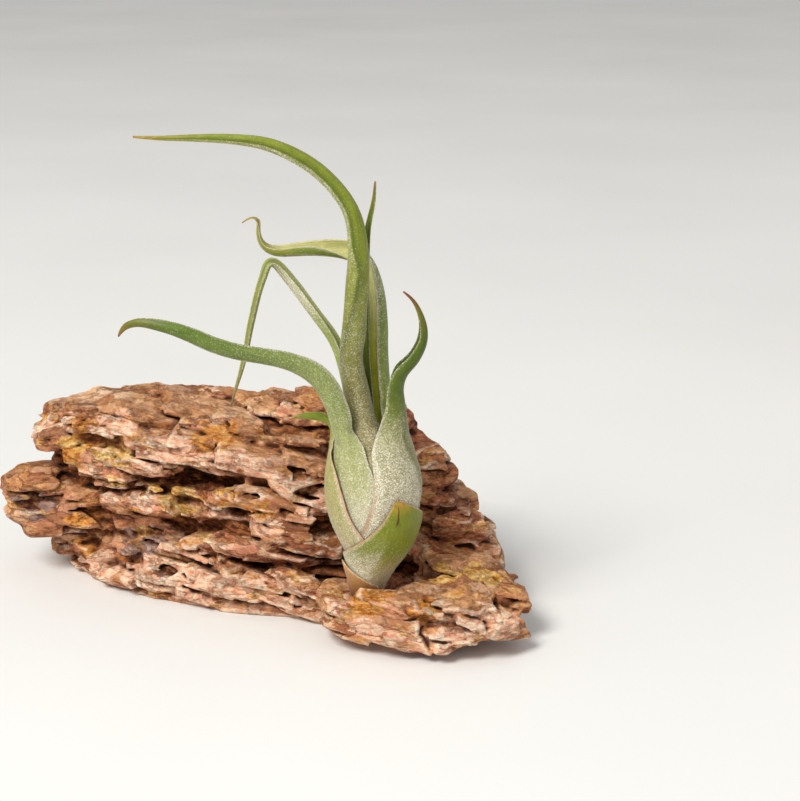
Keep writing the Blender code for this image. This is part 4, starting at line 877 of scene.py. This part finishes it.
def leaf_material(name, look):
    """Green, straw and brown along the leaf, speckled with pale scales; dry margins and a dried tip."""
    g = Graph(name + "_leaf")
    along, across, inner = g.read("along"), g.read("across"), g.read("inner")
    grain = g.read("grain", "Vector")
    edge = g.math("ABSOLUTE", across)
    cloud = g.noise(grain, (0.1, 0.045, 1), 3, 0.6)
    veins = g.noise(grain, (1.6, 0.05, 1), 3, 0.6)
    fine = g.noise(grain, (4.2, 0.35, 1), 2, 0.6)
    patch = g.noise(grain, (0.4, 0.16, 1), 3, 0.6)
    shifted = g.sway(cloud, 0.12, along)
    colour = g.mix(inner, g.ramp(shifted, look["outside"]), g.ramp(shifted, look["within"]))
    deep, light = g.gain(colour, (0.62, 0.66, 0.52)), g.gain(colour, (1.3, 1.24, 1.2))
    colour = g.layers(
        colour, (deep, veins, 0.6, 0.4, 0.45), (light, patch, 0.4, 0.66, 0.5),
        (light, fine, 0.5, 0.72, look["streak"]), (deep, fine, 0.5, 0.34, look["streak"]))
    crease = g.ramp(along, [(place, (at + 1) / 2) for place, at in look["crease"]])
    off = g.math("SUBTRACT", across, g.times(crease, 2, -1))
    side = g.step(off, -0.07, 0.07)
    # Painted shade: a darker band just to the right of the crease stands for the shade where the leaf turns
    # from the light.
    if look["line"]:
        band = g.times(side, g.step(off, 0.5, 0.05, look["line"]))
        colour = g.mix(band, colour, g.gain(colour, (0.5, 0.56, 0.36)))
    density = g.mix(side, g.ramp(along, look["scurf"]), g.ramp(along, look["right"]))
    density = g.times(density, g.times(patch, 1.3, 0.35))
    density = g.plus(density, g.step(edge, 0.8, 1, 0.45))
    density = g.times(density, g.times(inner, look["hollow"] - 1, 1))
    colour = g.layers(colour, (deep, density, 0.3, 0.9, 0.7))
    haze = g.step(density, 0, 1.2, 0.36)
    colour = g.mix(haze, colour, daylight(HAZE))
    strength = g.times(density, 0.92, 0.06)
    dots = 0
    for scale, near, far in ((1.7, 0.22, 0.5), (2.7, 0.22, 0.52)):
        chance, _, off_centre = g.cells(grain, scale)
        there = g.step(g.math("SUBTRACT", density, chance), -0.03, 0.03)
        dot = g.times(g.times(there, g.step(off_centre, far, near)), strength)
        dots = g.math("MAXIMUM", dots, g.math("MINIMUM", dot, 0.94))
    colour = g.mix(dots, colour, daylight(SCURF))
    cover = g.math("MAXIMUM", haze, dots)
    _, chance, off_centre = g.cells(g.vector("MULTIPLY", grain, (1, 0.7, 1)), 1.7)
    dark = g.times(g.step(chance, 0.16, 0.1), g.step(off_centre, 0.34, 0.16, 0.6))
    colour = g.mix(dark, colour, daylight((70, 58, 30)))
    dry = g.times(g.step(g.sway(fine, 0.16, edge), 0.9, 0.985), g.ramp(along, look["papery"]))
    shade = g.step(fine, 0.3, 0.7)
    papery = g.mix(shade, daylight(look["margin"], 0.55), daylight(look["margin"], 1.1))
    colour = g.mix(dry, colour, papery)
    if look["slit"]:
        at, low, high = look["slit"]
        wavy = g.math("ABSOLUTE", g.sway(cloud, 0.5, g.math("SUBTRACT", across, at)))
        thin = g.times(g.step(wavy, 0.055, 0.02), g.step(along, low, high))
        colour = g.mix(thin, colour, daylight((84, 44, 18)))
    start, *dried = look["tip"]
    if start < 1:
        brown = g.mix(g.step(fine, 0.4, 0.62), daylight(dried, 0.5), daylight(dried, 1.1))
        colour = g.layers(colour, (brown, g.sway(veins, 0.07, along), start - 0.03, start + 0.03, 0.95))
    relief = g.plus(g.times(veins, 0.4), g.plus(g.times(cover, 0.9), fine))
    return g.finish(
        colour, g.times(cover, 0.35, 0.42), relief, 0.00016, 0.7,
        Sheen_Weight=0.12, Sheen_Roughness=0.4, Specular_IOR_Level=0.35)


def scale_material():
    """The pale look of the leaf scales, with some sheen."""
    made = bpy.data.materials.get("leaf_scales")
    if made:
        return made
    g = Graph("leaf_scales")
    shade = g.noise(g.geometry(), (900, 900, 900))
    colour = g.ramp(shade, ((0.3, 176, 166, 130), (0.5, 216, 210, 188), (0.72, 240, 237, 224)))
    return g.finish(colour, g.step(shade, 0.2, 0.8, 0.9), Sheen_Weight=0.3)


def stone_material():
    """Layered weathered stone: salmon and cream ledges, tan and ochre flakes, and painted shade, brown to
    black, in its hollows and crevices.
    """
    g = Graph("weathered_stone")
    place = g.vector("MULTIPLY", g.geometry(), (1000, 1000, 1000))
    parts = g.add("SeparateXYZ", {0: place}).outputs
    strata = g.add("CombineXYZ", {0: parts[0], 1: parts[1], 2: g.read("bed")}).outputs[0]
    facing = g.add("SeparateXYZ", {0: g.geometry("Normal")}).outputs[2]
    wide = g.noise(strata, (0.022, 0.022, 0.075))
    patches = g.noise(strata, (0.07, 0.07, 0.18), 4, 0.62, 0.8)
    mottle = g.noise(strata, (0.26, 0.26, 0.52), 5, 0.6, 0.5)
    grit = g.noise(place, (0.9, 0.9, 1.1), 4, 0.75)
    thin = g.noise(strata, (0.1, 0.1, 2.4), 3, 0.65)
    drift = g.noise(strata, (0.12, 0.12, 0.24), 8, 0.72, output="Color")
    drift = g.vector("MULTIPLY", g.vector("SUBTRACT", drift, (0.5, 0.5, 0.5)), (26, 26, 9))
    bent = g.vector("MULTIPLY", g.vector("ADD", strata, drift), (0.062, 0.062, 0.19))
    flake = g.cells(bent)[0]
    chip, chip_edge, _ = g.cells(g.vector("MULTIPLY", bent, (2.3, 2.3, 1.9)))
    rim = g.add("TexVoronoi", {"Vector": bent, "Scale": 1}, feature="DISTANCE_TO_EDGE").outputs["Distance"]
    tone = g.sway(mottle, 0.5, flake)
    side = g.ramp(tone, (
        (0, 132, 78, 50), (0.16, 178, 110, 74), (0.3, 212, 140, 104), (0.44, 236, 170, 138),
        (0.58, 222, 146, 116), (0.7, 202, 134, 80), (0.82, 240, 190, 150), (1, 170, 98, 68)))
    top = g.ramp(tone, (
        (0, 126, 78, 46), (0.2, 180, 118, 72), (0.4, 222, 166, 116), (0.6, 242, 200, 162),
        (0.8, 196, 132, 80), (1, 250, 216, 184)))
    shade = g.ramp(mottle, ((0.32, 118, 70, 42), (0.48, 184, 120, 78), (0.66, 226, 170, 122)))
    colour = g.layers(side, (top, facing, 0.35, 0.85, 1), (shade, wide, 0.56, 0.46, 0.5))
    for kind, shades, amount in (
        ("brown", ((0.34, 92, 48, 30), (0.5, 156, 90, 58), (0.66, 200, 134, 94)), 0.85),
        ("grey", ((0.34, 112, 84, 74), (0.5, 148, 118, 108), (0.66, 186, 156, 142)), 0.8),
        ("pale", ((0.36, 220, 144, 114), (0.48, 240, 182, 148), (0.62, 255, 222, 192)), 1.1),
        ("yellow", ((0.34, 186, 126, 50), (0.5, 234, 184, 100), (0.66, 252, 226, 164)), 1.3),
        ("ochre", ((0.34, 150, 78, 22), (0.5, 214, 136, 54), (0.66, 238, 184, 106)), 1.3),
    ):
        sharp = g.sway(chip_edge, 0.7, g.times(g.read(kind), amount))
        colour = g.layers(colour, (g.ramp(mottle, shades), sharp, 0.36, 0.46, 0.92))
    loose = g.ramp(mottle, ((0.34, 176, 108, 48), (0.5, 222, 158, 84), (0.66, 246, 208, 152)))
    colour = g.layers(colour, (loose, chip, 0.88, 0.9, 0.75))
    cream = g.ramp(mottle, ((0.36, 234, 172, 138), (0.46, 248, 208, 176), (0.6, 255, 236, 210)))
    bare = g.math("MAXIMUM", g.step(wide, 0.46, 0.56, 0.85), g.times(g.read("pale"), 1.3))
    nose = g.step(g.sway(mottle, 0.16, g.read("wear_and_shade")), 0.47, 0.38, 0.85)
    colour = g.mix(g.times(nose, g.math("MINIMUM", bare, 1)), colour, cream)
    dark, bright = g.gain(colour, (0.42, 0.33, 0.27)), g.gain(colour, (1.34, 1.32, 1.28))
    colour = g.layers(
        colour, (bright, patches, 0.54, 0.62, 0.6), (dark, patches, 0.46, 0.38, 0.4),
        (bright, grit, 0.52, 0.64, 0.45), (dark, grit, 0.46, 0.38, 0.35), (dark, thin, 0.43, 0.36, 0.4))
    broken = g.times(g.step(patches, 0.42, 0.52, 0.9), g.step(facing, 1.2, 0.2))
    colour = g.mix(g.times(g.step(rim, 0.035, 0.008), broken), colour, dark)
    # Painted shade: hollows, sheltered places and the finest crevices are darkened to brown and near black.
    hollow = g.ramp(mottle, ((0.36, 48, 20, 10), (0.5, 118, 60, 26), (0.66, 190, 116, 58)))
    colour = g.layers(
        colour, (hollow, g.sway(patches, 0.16, g.read("cavity")), 0.53, 0.64, 0.8),
        (hollow, g.sway(patches, 0.16, g.read("shelter")), 0.56, 0.72, 0.8),
        (daylight((42, 20, 10)), g.sway(patches, 0.048, g.read("wear_and_shade")), 0.56, 0.66, 0.9))
    relief = g.plus(g.times(mottle, 1.6), g.plus(g.times(thin, 0.8), grit))
    relief = g.plus(relief, g.step(rim, 0, 0.06, 0.5))
    return g.finish(colour, g.step(mottle, -0.6, 1), relief, 0.0011, 0.9, Specular_IOR_Level=0.25)


def fibre_material():
    """The brown woody stem with lengthwise fibres."""
    g = Graph("stem_fibre")
    fibre = g.noise(g.geometry(), (1400, 1400, 160), 4, 0.65)
    colour = g.ramp(fibre, ((0.35, 70, 42, 22), (0.5, 120, 80, 46), (0.65, 168, 124, 78)))
    return g.finish(colour, g.step(fibre, -1, 1, 0.9), fibre, 0.0005)


def floor_material():
    g = Graph("floor_paper")
    tone = g.noise(g.geometry(), (3, 3, 3), 3)
    colour = g.ramp(tone, ((0.3, 224, 223, 220), (0.7, 230, 229, 226)))
    return g.finish(colour, g.step(tone, -2, 0.8, 0.95))


# The stem


def fine_stem():
    """The hard core at the foot: a gnarled plate and a neck that runs up inside the bulb."""
    low, high = [np.array(corner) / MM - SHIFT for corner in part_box("stem")]
    around = np.linspace(0, math.tau, 64, endpoint=False)
    radius, height = catmull((
        (3.2, 0.05), (4.9, 0.12), (5.7, 0.35), (5.75, 0.75), (5.6, 1.1), (1.8, 1.25), (1.75, 2.4),
        (1.8, 4), (2.3, 6), (2.5, 8), (2.45, 11.5), (2.4, 15), (1.6, 15.4),
    ), 4).T[:, :, None]
    height = low[2] + np.clip(height, 0.02, high[2] - low[2] - 0.05)
    centre = BULB[0, 1] + 0.121 * np.clip(height - BULB[0, 0], 0, None)
    wave = 1 + 0.05 * noise(np.cos(around) * 2.6, np.sin(around) * 2.6, height / 3, 41)
    radius = radius * np.minimum(wave, 1.03)
    rings = np.stack((centre + radius * np.cos(around), radius * np.sin(around), height + 0 * radius), -1)
    count, sides = rings.shape[:2]
    points = np.concatenate((rings.reshape(-1, 3), rings[[0, -1]].mean(1)))
    index = np.arange(count * sides).reshape(count, sides)
    after = np.roll(index, -1, axis=1)
    walls = quads(index[:-1], after[:-1], after[1:], index[1:])
    foot = np.column_stack((after[0], index[0], np.full(sides, count * sides)))
    crown = np.column_stack((index[-1], after[-1], np.full(sides, count * sides + 1)))
    faces = np.concatenate((walls[:, [0, 1, 2]], walls[:, [0, 2, 3]], foot, crown))
    mesh_object("stem", "_fine", points, faces, fibre_material())


# The scene


def area_light(name, place, aim, size, power, colour):
    lamp = bpy.data.lights.new(name, "AREA")
    lamp.energy, lamp.size, lamp.color = power, size, colour
    made = scene_object(name, lamp)
    made.location = place
    made.rotation_euler = (Vector(aim) - Vector(place)).to_track_quat("-Z", "Y").to_euler()


def studio():
    """Pale floor, soft light from the upper left front, and the camera at the photograph's angle."""
    mesh = bpy.data.meshes.new("floor")
    corners = [(x * FLOOR_REACH, y * FLOOR_REACH, 0) for x, y in ((-1, -1), (1, -1), (1, 1), (-1, 1))]
    mesh.from_pydata(corners, [], [(0, 1, 2, 3)])
    mesh.materials.append(floor_material())
    floor = scene_object("floor", mesh)
    world = bpy.data.worlds.new("studio")
    world.use_nodes = True
    background = world.node_tree.nodes["Background"].inputs
    background["Color"].default_value = (1, 1, 1, 1)
    background["Strength"].default_value = 0.54
    bpy.context.scene.world = world
    area_light("key", (-1.3, -1.8, 2.4), (0, 0, 0.07), 1.15, 102, (1, 0.985, 0.95))
    area_light("fill", (1.6, -1.6, 1), (0, 0, 0.08), 1.8, 5, (0.97, 0.985, 1))
    lens = bpy.data.cameras.new("camera")
    lens.lens, lens.sensor_width = CAMERA_LENS, 36
    camera = scene_object("camera", lens)
    camera.location = (CAMERA + SHIFT) * MM
    camera.rotation_euler = (math.radians(90 - CAMERA_TILT), 0, 0)
    bpy.context.scene.camera = camera
    bpy.context.scene.view_settings.view_transform = "Standard"


studio()
stone_points, stone_faces, stone_reads = sculpted_stone()
mesh_object("stone", "_fine", stone_points, stone_faces, stone_material(), stone_reads)
fine_stem()
for number, (leaf, leaf_look) in enumerate(LEAVES.items(), 1):
    fine_leaf(leaf, leaf_look, number)
